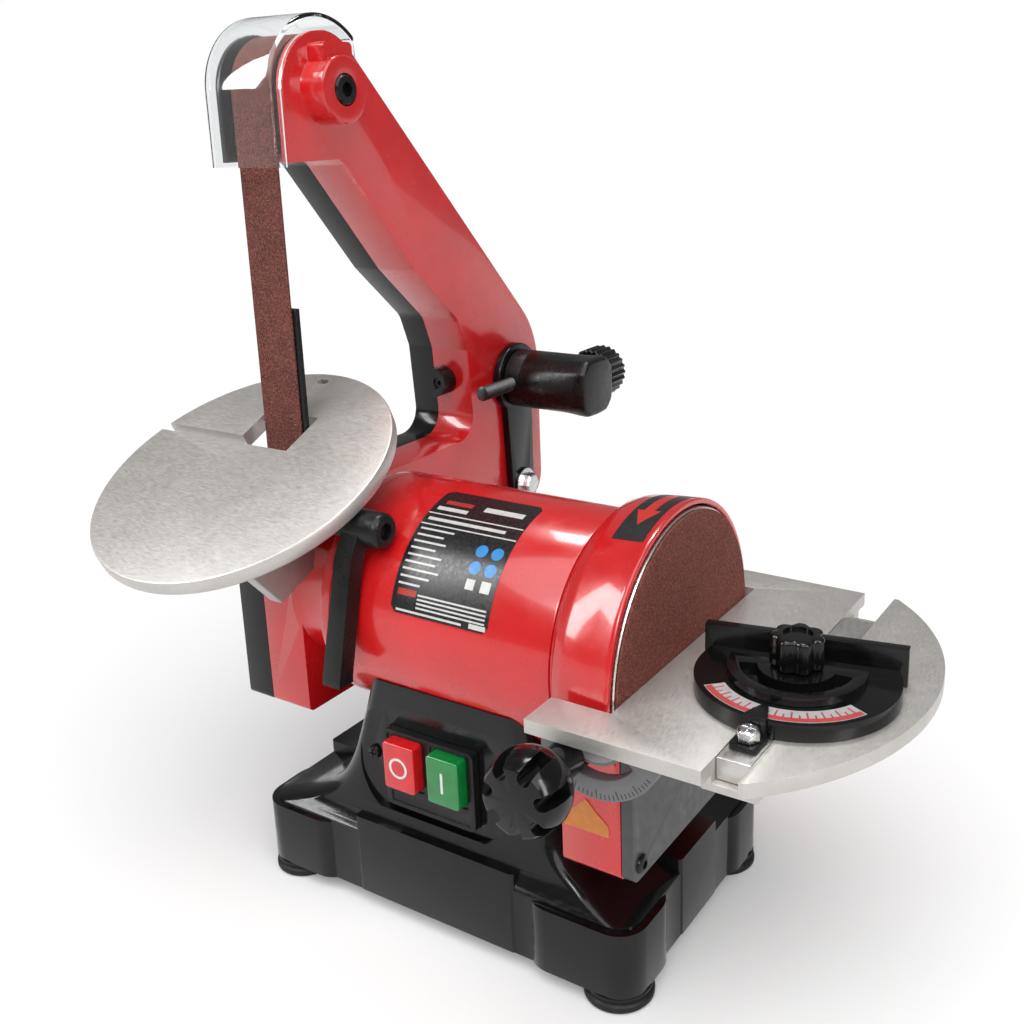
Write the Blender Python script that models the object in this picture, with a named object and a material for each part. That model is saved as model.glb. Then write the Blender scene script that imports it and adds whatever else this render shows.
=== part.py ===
"""Bench belt and disc sander: a 25 mm x 762 mm belt on the left, a 125 mm disc on the right.

Design frame, in millimetres: the motor axis is the X axis, the abrasive face of the disc is X = 0,
+X points out of the disc, -Y is the operator's side with the switch, +Z is up. The empty
"sander_origin" carries every part and moves the middle of the footprint onto the world origin.
"""
from math import acos, asin, atan2, cos, hypot, pi, radians, sin, tan

import bmesh
import bpy
from mathutils import Matrix, Vector

# ---------------------------------------------------------------- driving dimensions (mm)
MM = 0.001
GAP = 0.3                      # air between neighbouring pieces
MOTOR_AXIS = (93.0, -36.2, 148.0)    # the motor axis and the disc face, seen from the footprint's middle

DISC_R = 62.5                  # 125 mm abrasive disc
BELT_WIDTH = 25.0
BELT_THICK = 0.9
BELT_X = -215.5                # middle of the belt
DRIVE_R = 18.8
TOP_R = 24.8
TENSION_R = 15.3
TOP_WHEEL = (TOP_R - DRIVE_R, 241.0)   # (Y, Z), so the front run of the belt is upright
TENSION_WHEEL = (151.4, 72.6)
WHEEL_WIDTH = 26.0
AXLE_R = 4.0
SHAFT_R = 6.0

BARREL_R = 56.5
BARREL_LEFT = -165.0
BARREL_RIGHT = -36.0

FRAME_RIGHT = -194.0           # outer face of the red casting
FRAME_LEFT = -219.7            # open rim of the red casting
COVER_LEFT = -237.0            # outer face of the black side cover
PLATE = 5.0                    # casting's side wall
WALL = 3.5                     # casting's edge walls
COVER_PLATE = 2.5

BASE_LEFT, BASE_RIGHT = -213.0, 5.0
BASE_FRONT, BASE_REAR = -62.0, 78.0
BASE_TOP = -108.0
BASE_BOTTOM = -140.0
FOOT_BOTTOM = -148.0
FOOT_R = 16.0
FOOT_INSET = 15.0              # from the base's edges to a foot's middle
PANEL_STEP = 3.0               # how far the corner blocks stand proud
PEDESTAL_FRONT = 51.0
SWITCH_X = (-132.0, -80.0)
SWITCH_Z = (-88.0, -48.0)

TABLE_TOP = 3.0
TABLE_THICK = 6.0
TABLE_HALF = 90.0
TILT_AXIS = (1.5, 3.0)         # disc table's pivot (X, Z): the table's upper edge beside the disc
SLOT_X = 56.7                  # middle of the mitre slot
SLOT_WIDTH = 14.2
SLOT_FLOOR = -6.5

BELT_TABLE_R = 77.0
BELT_TABLE_TILT = radians(25)
BELT_TABLE_THICK = 7.8
BELT_PIVOT = (-47.0, 48.0)     # belt table's pivot (Y, Z)

HEAD_TURN = radians(11)        # mitre head as it stands
HEAD_AT = (SLOT_X, -17.0)

ARM_PIVOT = (153.0, 5.0)       # tension arm's pivot (Y, Z)
STOP_SCREW_R = 4.2
STOP_SCREW_X = -183.6
SECTOR_Y = (78.0, 84.0)
SECTOR_R = 30.0
LOCK_AT = (-9.6, -11.3)        # lock knob's axis (X, Z)
LOCK_BOLT_R = 2.5

ROUND = 24                     # sides of a large round piece
FINE = 36                      # sides of the disc, its housing and the barrel
SMALL = 12                     # sides of a small one


# ---------------------------------------------------------------- materials
def finish(name, colour, roughness, metallic=0.0, alpha=1.0):
    """One Principled material; colour is linear RGB."""
    material = bpy.data.materials.new(name)
    material.use_nodes = True
    shader = material.node_tree.nodes["Principled BSDF"]
    shader.inputs["Base Color"].default_value = (*colour, 1.0)
    shader.inputs["Roughness"].default_value = roughness
    shader.inputs["Metallic"].default_value = metallic
    shader.inputs["Alpha"].default_value = alpha
    material.diffuse_color = (*colour, alpha)
    return material


def red_paint(name):
    return finish(name, (0.55, 0.012, 0.014), 0.22)


def black_gloss(name):
    return finish(name, (0.008, 0.008, 0.009), 0.18)


def black_satin(name):
    return finish(name, (0.012, 0.012, 0.013), 0.42)


def grey_satin(name):
    return finish(name, (0.07, 0.07, 0.073), 0.45)


def aluminium(name):
    return finish(name, (0.62, 0.61, 0.58), 0.42, 1.0)


def steel(name):
    return finish(name, (0.6, 0.6, 0.6), 0.25, 1.0)


def abrasive(name):
    return finish(name, (0.16, 0.045, 0.032), 0.9)


def clear(name):
    return finish(name, (0.9, 0.92, 0.93), 0.05, 0.0, 0.3)


# ---------------------------------------------------------------- outlines
def arc(centre, radius, start, end, steps):
    """Points on a circle, both ends included; angles in degrees."""
    points = []
    for i in range(steps + 1):
        angle = radians(start + (end - start) * i / steps)
        points.append((centre[0] + radius * cos(angle), centre[1] + radius * sin(angle)))
    return points


def rounded(corners, steps=4):
    """Closed outline from corners (u, v, fillet radius)."""
    outline = []
    count = len(corners)
    for i, (u, v, radius) in enumerate(corners):
        if radius <= 0.0:
            outline.append((u, v))
            continue
        here = Vector((u, v))
        back = (Vector(corners[i - 1][:2]) - here).normalized()
        ahead = (Vector(corners[(i + 1) % count][:2]) - here).normalized()
        half = acos(max(-1.0, min(1.0, back.dot(ahead)))) / 2
        centre = here + (back + ahead).normalized() * (radius / sin(half))
        start = here + back * (radius / tan(half)) - centre
        end = here + ahead * (radius / tan(half)) - centre
        turn = atan2(start.x * end.y - start.y * end.x, start.dot(end))
        for k in range(steps + 1):
            a = turn * k / steps
            spoke = Vector((start.x * cos(a) - start.y * sin(a), start.x * sin(a) + start.y * cos(a)))
            outline.append(tuple(centre + spoke))
    return outline


def inset(corners, distance):
    """The corners of a clockwise chain moved inwards; the two end corners are dropped."""
    moved = []
    for i in range(1, len(corners) - 1):
        before, here, after = (Vector(corners[i + k][:2]) for k in (-1, 0, 1))
        arriving = (here - before).normalized()
        leaving = (after - here).normalized()
        first = Vector((arriving.y, -arriving.x))
        second = Vector((leaving.y, -leaving.x))
        shift = (first + second) / (1 + first.dot(second))
        turn = arriving.x * leaving.y - arriving.y * leaving.x
        radius = corners[i][2] + (distance if turn > 0 else -distance)
        moved.append((*(here + shift * distance), max(radius, 1.0)))
    return moved


def rounded_rectangle(x0, x1, y0, y1, radius, steps=4):
    return rounded([(x0, y0, radius), (x1, y0, radius), (x1, y1, radius), (x0, y1, radius)], steps)


# ---------------------------------------------------------------- solids
def place(axis, u, v, w):
    """A point from an outline's (u, v) and the height w along the axis."""
    return {"X": (w, u, v), "Y": (u, w, v), "Z": (u, v, w)}[axis]


def loft(sections):
    """A closed solid through rings with the same number of points."""
    bm = bmesh.new()
    rings = [[bm.verts.new(point) for point in section] for section in sections]
    count = len(rings[0])
    for lower, upper in zip(rings, rings[1:]):
        for i in range(count):
            j = (i + 1) % count
            bm.faces.new((lower[i], lower[j], upper[j], upper[i]))
    bm.faces.new(rings[0])
    bm.faces.new(rings[-1])
    bmesh.ops.recalc_face_normals(bm, faces=bm.faces)
    return bm


def prism(outline, axis, low, high):
    return loft([[place(axis, u, v, w) for u, v in outline] for w in (low, high)])


def box(x0, x1, y0, y1, z0, z1):
    return prism([(x0, y0), (x1, y0), (x1, y1), (x0, y1)], "Z", z0, z1)


def turned(profile, axis, centre=(0.0, 0.0), sides=ROUND):
    """Turn (w, radius) round an axis through centre; a profile off the axis closes on itself."""
    bm = bmesh.new()
    rings = []
    for w, radius in profile:
        if radius == 0.0:
            rings.append([bm.verts.new(place(axis, centre[0], centre[1], w))])
            continue
        ring = []
        for i in range(sides):
            angle = 2 * pi * i / sides
            u = centre[0] + radius * cos(angle)
            v = centre[1] + radius * sin(angle)
            ring.append(bm.verts.new(place(axis, u, v, w)))
        rings.append(ring)
    pairs = list(zip(rings, rings[1:]))
    if len(rings[0]) > 1:
        pairs.append((rings[-1], rings[0]))
    for first, second in pairs:
        for i in range(sides):
            j = (i + 1) % sides
            if len(first) == 1:
                bm.faces.new((first[0], second[j], second[i]))
            elif len(second) == 1:
                bm.faces.new((first[i], first[j], second[0]))
            else:
                bm.faces.new((first[i], first[j], second[j], second[i]))
    bmesh.ops.recalc_face_normals(bm, faces=bm.faces)
    return bm


def rod(axis, centre, radius, low, high, sides=SMALL, chamfer=0.0):
    """A solid cylinder, with a chamfer at both ends if one is given."""
    if chamfer:
        profile = [(low, 0.0), (low, radius - chamfer), (low + chamfer, radius)]
        profile += [(high - chamfer, radius), (high, radius - chamfer), (high, 0.0)]
    else:
        profile = [(low, 0.0), (low, radius), (high, radius), (high, 0.0)]
    return turned(profile, axis, centre, sides)


def tube(axis, centre, inner, outer, low, high, sides=ROUND):
    return turned([(low, inner), (low, outer), (high, outer), (high, inner)], axis, centre, sides)


def lobed(axis, centre, radius, depth, lobes, low, high, edge, steps=6):
    """A knob with round finger lobes and a domed face at both ends."""
    sections = []
    for w, shrink in ((low, edge), (low + edge, 0.0), (high - edge, 0.0), (high, edge)):
        ring = []
        for i in range(lobes * steps):
            angle = 2 * pi * i / (lobes * steps)
            reach = radius - shrink - depth * (0.5 - 0.5 * cos(lobes * angle))
            ring.append(place(axis, centre[0] + reach * cos(angle), centre[1] + reach * sin(angle), w))
        sections.append(ring)
    return loft(sections)


# ---------------------------------------------------------------- objects
def add(name, bm, material, pivot=(0.0, 0.0, 0.0)):
    """A named part; its origin lies at the pivot, and its mesh is in metres."""
    if material:
        bmesh.ops.triangulate(bm, faces=[f for f in bm.faces if len(f.verts) > 4])
    bm.transform(Matrix.Scale(MM, 4) @ Matrix.Translation(-Vector(pivot)))
    mesh = bpy.data.meshes.new(name)
    bm.to_mesh(mesh)
    bm.free()
    if material:
        mesh.materials.append(material)
    mesh.shade_smooth()
    mesh.set_sharp_from_angle(angle=radians(32))
    obj = bpy.data.objects.new(name, mesh)
    obj.location = Vector(pivot) * MM
    obj.parent = ORIGIN
    bpy.context.scene.collection.objects.link(obj)
    return obj


def boolean(obj, tool, operation):
    """Cut or weld with a hidden tool."""
    helper = add(f"tool_{obj.name}_{len(obj.modifiers)}", tool, None)
    helper.hide_render = True
    helper.display_type = "WIRE"
    modifier = obj.modifiers.new(operation.lower(), "BOOLEAN")
    modifier.operation = operation
    modifier.object = helper
    return obj


def cut(obj, tool):
    return boolean(obj, tool, "DIFFERENCE")


def weld(obj, tool):
    return boolean(obj, tool, "UNION")


def turn_mesh(bm, angle, axis, about):
    """Turn a mesh about an axis through a point."""
    matrix = Matrix.Translation(about) @ Matrix.Rotation(angle, 4, axis) @ Matrix.Translation(-Vector(about))
    bm.transform(matrix)
    return bm


# ---------------------------------------------------------------- base
def base_section(x0, x1, y0, y1, radius, z):
    return [(u, v, z) for u, v in rounded_rectangle(x0, x1, y0, y1, radius)]


def base_housing():
    """Stepped skirt with four proud corner blocks, and a flared pedestal that cradles the barrel."""
    left, right = BASE_LEFT + PANEL_STEP, BASE_RIGHT - PANEL_STEP
    front, rear = BASE_FRONT + PANEL_STEP, BASE_REAR - PANEL_STEP
    base = add("base_housing", loft([
        base_section(left, right, front, rear, 12, BASE_BOTTOM + 0.1),
        base_section(left, right, front, rear, 12, BASE_TOP + 1.5),
        base_section(left + 12, right - 12, front + 3, rear - 9, 12, -102.5),
        base_section(-178, -26, -53.5, 60, 12, -97),
        base_section(-168, -36, -52, 54, 11, -88),
        base_section(-160, -43, -PEDESTAL_FRONT, PEDESTAL_FRONT, 10, -74),
        base_section(-152, -49, -PEDESTAL_FRONT, PEDESTAL_FRONT, 9, -52),
        base_section(-143, -54, -PEDESTAL_FRONT, PEDESTAL_FRONT, 8, -26),
    ]), black_gloss("base_black"))
    block_x, block_y = 52.0, 42.0
    for x0, x1 in ((BASE_LEFT, BASE_LEFT + block_x), (BASE_RIGHT - block_x - 6, BASE_RIGHT)):
        for y0, y1 in ((BASE_FRONT, BASE_FRONT + block_y), (BASE_REAR - block_y, BASE_REAR)):
            weld(base, prism(rounded_rectangle(x0, x1, y0, y1, 14), "Z", BASE_BOTTOM, BASE_TOP))
    panel_x = rounded_rectangle(-150, -57, front - 0.6, rear + 0.6, 2)
    weld(base, prism(panel_x, "Z", BASE_BOTTOM + 0.3, -98.5))
    panel_y = rounded_rectangle(left - 0.6, right + 0.6, -11, 27, 2)
    weld(base, prism(panel_y, "Z", BASE_BOTTOM + 0.4, -99.5))
    cut(base, loft([
        base_section(left + 4, right - 4, front + 4, rear - 4, 9, BASE_BOTTOM - 1),
        base_section(left + 4, right - 4, front + 4, rear - 4, 9, BASE_TOP - 4),
        base_section(-164, -40, -48, 50, 8, -96),
        base_section(-154, -49, 4 - PEDESTAL_FRONT, PEDESTAL_FRONT - 4, 6, -74),
        base_section(-148, -53, 4 - PEDESTAL_FRONT, PEDESTAL_FRONT - 4, 6, -62),
    ]))
    cut(base, turned([(-170, 0), (-170, BARREL_R + GAP), (-34, BARREL_R + GAP), (-34, 0)], "X", sides=FINE))
    oval = rounded([(-151, -96, 24), (-64, -96, 24), (-64, -38, 24), (-151, -38, 24)], 6)
    cut(base, prism(oval, "Y", -PEDESTAL_FRONT - 2, -PEDESTAL_FRONT + 1))
    window = rounded_rectangle(SWITCH_X[0] - GAP, SWITCH_X[1] + GAP, SWITCH_Z[0] - GAP, SWITCH_Z[1] + GAP, 3)
    cut(base, prism(window, "Y", -PEDESTAL_FRONT - 4, -32.5))
    for x in (-142.0, -70.0):
        cut(base, rod("Y", (x, -66.0), 1.6 + GAP, -PEDESTAL_FRONT - 3, -PEDESTAL_FRONT + 6, 12))
    cut(base, rod("Y", (-150, -122), 6 + GAP, 66, 90))


def base_fittings():
    """Underside plate, four feet, cable gland and the motor's run capacitor."""
    plate = rounded_rectangle(BASE_LEFT + 7.6, BASE_RIGHT - 7.6, BASE_FRONT + 7.6, BASE_REAR - 7.6, 8)
    add("bottom_plate", prism(plate, "Z", BASE_BOTTOM + 0.5, BASE_BOTTOM + 2.5), grey_satin("plate_grey"))
    top = BASE_BOTTOM - GAP
    for x, left in ((BASE_LEFT + FOOT_INSET, "left"), (BASE_RIGHT - FOOT_INSET, "right")):
        for y, front in ((BASE_FRONT + FOOT_INSET, "front"), (BASE_REAR - FOOT_INSET, "rear")):
            profile = [(FOOT_BOTTOM, 0.0), (FOOT_BOTTOM, FOOT_R - 1.2), (FOOT_BOTTOM + 1.2, FOOT_R)]
            profile += [(top - 3.6, FOOT_R), (top - 2.8, FOOT_R - 1.4), (top - 1.8, FOOT_R - 1.4)]
            profile += [(top - 1.2, FOOT_R - 0.6), (top, FOOT_R - 0.6), (top, 0.0)]
            rubber = black_satin(f"rubber_{front}_{left}")
            add(f"foot_{front}_{left}", turned(profile, "Z", (x, y), 28), rubber)
    gland = [(72.0, 0.0), (72.0, 6.0), (75.9, 6.0), (75.9, 9.0), (80.0, 9.0), (81.0, 7.5), (87.0, 6.0)]
    gland += [(87.0, 4.0), (83.5, 4.0), (83.5, 0.0)]
    add("cable_gland", turned(gland, "Y", (-150, -122), SMALL), black_satin("gland_black"))
    add("run_capacitor", rod("X", (22, -122), 14, -130, -82, 24, 1.0), grey_satin("capacitor_grey"))


def switch_unit():
    """Two-button safety switch in the oval recess, with its two fixing screws."""
    face = -PEDESTAL_FRONT - 3.5
    outline = rounded_rectangle(SWITCH_X[0], SWITCH_X[1], SWITCH_Z[0], SWITCH_Z[1], 3)
    body = add("switch_body", prism(outline, "Y", face, -33), black_satin("switch_black"))
    buttons = (("stop_button", -128.0, (0.6, 0.01, 0.012)), ("start_button", -102.5, (0.0, 0.2, 0.03)))
    for name, x, colour in buttons:
        pocket = rounded_rectangle(x - GAP, x + 18 + GAP, -75.0 - GAP, -51.0 + GAP, 1.8)
        cut(body, prism(pocket, "Y", face - 2, -38))
        front, back = -60.5, -43.0
        smaller = [place("Y", *point, front) for point in rounded_rectangle(x + 1, x + 17, -74, -52, 1.2)]
        cap = rounded_rectangle(x, x + 18, -75, -51, 1.6)
        rings = [smaller] + [[place("Y", *point, w) for point in cap] for w in (front + 1, back)]
        add(name, loft(rings), finish(f"{name}_plastic", colour, 0.25), (x + 9, front, -63))
    for x, side in ((-142.0, "left"), (-70.0, "right")):
        front = -PEDESTAL_FRONT + 1
        head = [(front - 2.4, 0.0), (front - 2.4, 1.6), (front - 1.6, 3.0), (front - GAP, 3.4)]
        head += [(front - GAP, 1.6), (-44.0, 1.6), (-44.0, 0.0)]
        add(f"switch_screw_{side}", turned(head, "Y", (x, -66.0), 16), steel(f"switch_screw_{side}_steel"))


# ---------------------------------------------------------------- motor
def motor():
    """Barrel, stator, rotor, shaft, two bearings and the plate that closes the barrel."""
    left, right = BARREL_LEFT, BARREL_RIGHT - GAP
    outer = [(right, BARREL_R), (left + 1.5, BARREL_R), (left, BARREL_R - 1.5)]
    inner = [(left, 11 + GAP), (left + 9, 11 + GAP), (left + 9, 38), (left + 14, 53), (right, 53)]
    add("motor_housing", turned(outer + inner, "X", sides=FINE), red_paint("motor_red"))
    add("motor_stator", tube("X", (0, 0), 30, 52.7, -138, -66), steel("stator_steel"))
    add("motor_rotor", tube("X", (0, 0), SHAFT_R + GAP, 29.4, -134, -70), steel("rotor_steel"))
    add("motor_end_plate", tube("X", (0, 0), 11 + GAP, 52.7, -46, -37), aluminium("end_plate_aluminium"))
    for name, low in (("bearing_left", left + 0.5), ("bearing_right", -45.5)):
        add(name, tube("X", (0, 0), SHAFT_R + GAP, 11, low, low + 8, 24), steel(f"{name}_steel"))
    end = BELT_X - WHEEL_WIDTH / 2 - 4
    add("motor_shaft", rod("X", (0, 0), SHAFT_R, end, -9.6, 24, 0.8), steel("shaft_steel"))


def wheel(name, centre, radius, bore, material):
    """Crowned wheel with a turned-down web on both sides."""
    low = BELT_X - WHEEL_WIDTH / 2
    high = BELT_X + WHEEL_WIDTH / 2
    rim = radius - 4
    hub = bore + 4
    profile = [(low, bore), (low, hub), (low + 6, hub), (low + 6, rim), (low, rim), (low, radius - 0.5)]
    profile += [(low + 8, radius), (high - 8, radius), (high, radius - 0.5), (high, rim), (high - 6, rim)]
    profile += [(high - 6, hub), (high, hub), (high, bore)]
    return add(name, turned(profile, "X", centre, ROUND), material, (BELT_X, *centre))


def disc():
    """Aluminium disc plate with its hub on the shaft, and the stuck-on abrasive."""
    face = -BELT_THICK - GAP
    plate = [(face, 0.0), (face, 63.4), (face - 6.5, 63.4), (face - 6.5, 54), (face - 4, 54), (face - 4, 14)]
    plate += [(-26, 14), (-26, SHAFT_R + GAP), (-9.3, SHAFT_R + GAP), (-9.3, 0.0)]
    add("disc_plate", turned(plate, "X", sides=FINE), aluminium("disc_aluminium"))
    add("abrasive_disc", rod("X", (0, 0), DISC_R, -BELT_THICK, 0.0, FINE), abrasive("disc_abrasive"))


# ---------------------------------------------------------------- disc side
def disc_housing():
    """Casting round the disc: back wall, flared hood, box round the lower half, and two clamp bosses."""
    shell = [(BARREL_RIGHT, 12.5), (BARREL_RIGHT, BARREL_R), (-29, 63.5), (-25, 65.2), (-3, 67), (-2, 66.6)]
    shell += [(-2, 62.0), (-27, 62.0), (-27, 12.5)]
    housing = add("disc_housing", turned(shell, "X", sides=FINE), red_paint("housing_red"))
    lower = rounded([(-61, -18, 0), (-61, -80, 4), (61, -80, 4), (61, -18, 0)])
    weld(housing, prism(lower, "X", -28.5, -0.2))
    for side in (-1, 1):
        low, high = sorted((side * 50, side * (SECTOR_Y[0] - GAP)))
        weld(housing, rod("Y", LOCK_AT, 7.6, low, high, 24))
    cut(housing, rod("X", (0, 0), 64.8, -26.5, 3.0, FINE - 4))
    cavity = rounded([(-58.3, -16, 0), (-58.3, -77, 3), (58.3, -77, 3), (58.3, -16, 0)])
    cut(housing, prism(cavity, "X", -26.4, 3.0))
    for side in (-1, 1):
        low, high = sorted((side * 65.6, side * 90))
        cut(housing, rod("Y", LOCK_AT, LOCK_BOLT_R + GAP, low, high))


def disc_cover():
    """Dark plate over the lower half of the disc face, and its screw."""
    outline = rounded([(-61, -80, 5), (61, -80, 5), (61, -13, 3), (-61, -13, 3)])
    cover = add("disc_cover_plate", prism(outline, "X", GAP, 5.5), grey_satin("cover_plate_grey"))
    cut(cover, rod("X", (0, 0), 64.0, -3, 2.2, FINE))
    cut(cover, rod("X", (-54, -73), 2.4 + GAP, -1.0, 9.0, 16))
    screw = [(-6.0, 0.0), (-6.0, 2.4), (5.8, 2.4), (5.8, 4.2), (7.4, 3.6), (7.4, 0.0)]
    add("cover_plate_screw", turned(screw, "X", (-54, -73), 16), steel("cover_plate_screw_steel"))


def disc_table():
    """Half-round table with the mitre channel, its notch round the hood, and two tilt sectors."""
    arc_x, arc_r = -12.0, 119.0
    end = degrees_of(asin(TABLE_HALF / arc_r))
    x, z = TILT_AXIS
    left, inner = -26.0, 70.0
    outline = [(left, -TABLE_HALF), *arc((arc_x, 0), arc_r, -end, end, 28), (left, TABLE_HALF)]
    outline += [(left, inner), (x, inner), (x, -inner), (left, -inner)]
    bottom = TABLE_TOP - TABLE_THICK
    table = add("disc_table", prism(outline, "Z", bottom, TABLE_TOP), aluminium("table_aluminium"), (x, 0, z))
    undercut = [(x - 3, z - 0.5), (x - 3, z - 12), (x + 11.5, z - 12), (x, z - 0.5)]
    cut(table, prism(undercut, "Y", -inner - 0.01, inner + 0.01))
    rib = [(SLOT_X - 11, -81.5), (SLOT_X + 11, -81.5), (SLOT_X + 11, 81.5), (SLOT_X - 11, 81.5)]
    weld(table, prism(rib, "Z", SLOT_FLOOR - 3, bottom + 1))
    half = SLOT_WIDTH / 2
    cut(table, box(SLOT_X - half, SLOT_X + half, -110, 110, SLOT_FLOOR, TABLE_TOP + 2))
    radius = hypot(LOCK_AT[0] - x, LOCK_AT[1] - z)
    half = LOCK_BOLT_R + 0.4
    edge = x - 24.0
    corner = 360.0 - degrees_of(acos((edge - x) / SECTOR_R))
    for name, side in (("front", -1), ("rear", 1)):
        low, high = sorted((side * SECTOR_Y[0], side * SECTOR_Y[1]))
        sector = [(edge, bottom - GAP), *arc((x, z), SECTOR_R, corner, 347.8, 20)]
        paint = grey_satin(f"sector_{name}_grey")
        piece = add(f"tilt_sector_{name}", prism(sector, "Y", low, high), paint, (x, 0, z))
        slot = arc((x, z), radius + half, 222, 325, 16) + arc((x, z), radius - half, 325, 222, 16)
        cut(piece, prism(slot, "Y", low - 2, high + 2))


def degrees_of(angle):
    return angle * 180 / pi


def lock_knob():
    """Lobed knob on the bolt that clamps the front sector, and the nut that clamps the rear one."""
    outer = SECTOR_Y[1]
    pivot = (LOCK_AT[0], -outer, LOCK_AT[1])
    front, back = -122.0, -104.0
    body = lobed("Y", LOCK_AT, 17.0, 2.4, 8, front, back, 3.0, 5)
    knob = add("lock_knob", body, black_gloss("lock_knob_black"), pivot)
    neck = [(back - 1.5, 0.0), (back - 1.5, 9.5), (back + 4, 7.5), (-outer - GAP, 7.5), (-outer - GAP, 0.0)]
    weld(knob, turned(neck, "Y", LOCK_AT, 18))
    cut(knob, rod("Y", LOCK_AT, LOCK_BOLT_R + GAP, -100, -70))
    bolt = rod("Y", LOCK_AT, LOCK_BOLT_R, -99.5, -66.0, SMALL, 0.6)
    add("lock_bolt", bolt, steel("lock_bolt_steel"), pivot)
    nut = [(66.0, 0.0), (66.0, LOCK_BOLT_R), (outer + GAP, LOCK_BOLT_R), (outer + GAP, 7.4)]
    nut += [(outer + 6.5, 7.4), (outer + 7.2, 6.4), (outer + 7.2, 0.0)]
    add("rear_clamp_bolt", turned(nut, "Y", LOCK_AT, SMALL), steel("rear_clamp_steel"))


def mitre_gauge():
    """Bar in the slot, half-round head with its fence, lock knob, and bent pointer."""
    half = SLOT_WIDTH / 2 - GAP
    screw_at = (SLOT_X, -64.8)
    bar = add("miter_bar", box(SLOT_X - half, SLOT_X + half, -78, 60, SLOT_FLOOR + GAP, TABLE_TOP - 0.2),
              aluminium("bar_aluminium"), (SLOT_X, 0, TABLE_TOP))
    cut(bar, rod("Z", HEAD_AT, 3 + GAP, -3.5, 10))
    cut(bar, rod("Z", screw_at, 2 + GAP, -3.5, 10, 12))
    x, y = HEAD_AT
    low = TABLE_TOP + GAP
    about = (x, y, 0)
    back = 15.6
    ends = degrees_of(asin(back / 41))
    outline = arc(HEAD_AT, 41, 180 - ends, 360 + ends, 36)
    head = add("miter_head", turn_mesh(prism(outline, "Z", low, 10), HEAD_TURN, "Z", about),
               black_satin("head_black"), (x, y, low))
    fence = [(x - 41.5, y + back - 0.3), (x + 41.5, y + back - 0.3)]
    fence += [(x + 41.5, y + 20.1), (x - 41.5, y + 20.1)]
    weld(head, turn_mesh(prism(fence, "Z", low + 0.2, 19.5), HEAD_TURN, "Z", about))
    weld(head, turn_mesh(prism([*arc(HEAD_AT, 27.7, 172, 368, 24)], "Z", 9, 14), HEAD_TURN, "Z", about))
    slot = arc(HEAD_AT, 22.8, 190, 350, 16) + arc(HEAD_AT, 15.6, 350, 190, 16)
    cut(head, turn_mesh(prism(slot, "Z", 8.5, 16), HEAD_TURN, "Z", about))
    cut(head, rod("Z", HEAD_AT, 3 + GAP, 0, 20))
    body = lobed("Z", HEAD_AT, 11.0, 1.8, 7, 14 + GAP, 28, 2.0, 4)
    knob = add("miter_knob", body, black_gloss("miter_knob_black"), (x, y, 14))
    weld(knob, rod("Z", HEAD_AT, 3, -3.2, 16, 16))
    rim = HEAD_AT[1] - 41 - GAP
    foot = rounded_rectangle(SLOT_X - 5.5, SLOT_X + 5.5, screw_at[1] - 6, rim, 1.2)
    foot = prism(foot, "Z", TABLE_TOP + 0.1, TABLE_TOP + 1.9)
    pointer = add("miter_pointer", foot, black_satin("pointer_black"), (*screw_at, TABLE_TOP))
    bracket = [(rim - 1.4, TABLE_TOP + 1), (rim, TABLE_TOP + 1), (rim, 10.4), (-49, 10.4), (-49, 11.8)]
    bracket += [(rim - 1.4, 11.8)]
    weld(pointer, prism(bracket, "X", SLOT_X - 4.5, SLOT_X + 4.5))
    cut(pointer, rod("Z", screw_at, 2 + GAP, 0, 8, 12))
    for side in (-1, 1):
        tip = [(SLOT_X + side * 9, -48), (SLOT_X + side * 9, -58), (SLOT_X + side * 4.6, -58)]
        tip += [(SLOT_X + side * 1, -48)]
        cut(pointer, prism(tip, "Z", 8, 14))
    screw = [(-2.5, 0.0), (-2.5, 2.0), (TABLE_TOP + 2.2, 2.0), (TABLE_TOP + 2.2, 4.6), (TABLE_TOP + 6, 4.6)]
    screw += [(TABLE_TOP + 6.8, 3.8), (TABLE_TOP + 6.8, 0.0)]
    screw_steel = steel("miter_screw_steel")
    add("miter_pointer_screw", turned(screw, "Z", screw_at, 18), screw_steel, (*screw_at, TABLE_TOP))


# ---------------------------------------------------------------- belt side
ARM_CORNERS = [
    (180.0, 96.0, 56.0), (180.0, -5.0, 18.0), (60.0, -64.0, 20.0), (-40.0, -64.0, 3.0),
    (-40.0, 30.0, 3.0), (-31.0, 45.0, 3.0), (111.0, 45.0, 14.0), (107.0, 97.0, 6.0), (100.0, 116.0, 14.0),
    (65.0, 148.0, 18.0), (17.0, 206.0, 5.0),
]
HEAD_R = 27.0


def arm_outline(shrink=0.0):
    """Side view of the belt arm: round head, sloping arm, knee, throat and lower case."""
    y, z = TOP_WHEEL
    front = (y - HEAD_R + shrink, 209.0 + shrink)
    head = arc(TOP_WHEEL, HEAD_R - shrink, 180, 43.4, 16)
    chain = [(25.6, 259.6, 0.0), *ARM_CORNERS, (12.0, 209.0, 2.0), (-21.0, 209.0, 0.0)]
    return [*head[:-1], *rounded([(*head[-1], 0.0), *inset(chain, shrink), (*front, 0.0)])]


def hollow(obj, low, high):
    """Pocket inside the edge walls, and no edge wall at all round the head and in front of it."""
    cut(obj, prism(arm_outline(WALL), "X", low, high))
    head = [(-60, 180), (-9, 180), (-9, 222), (44, 204), (90, 252), (90, 300), (-60, 300)]
    cut(obj, prism(head, "X", low + 0.01, high - 0.01))
    cut(obj, box(low + 0.02, high - 0.02, -27.5, -11.0, 34, 60))


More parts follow.
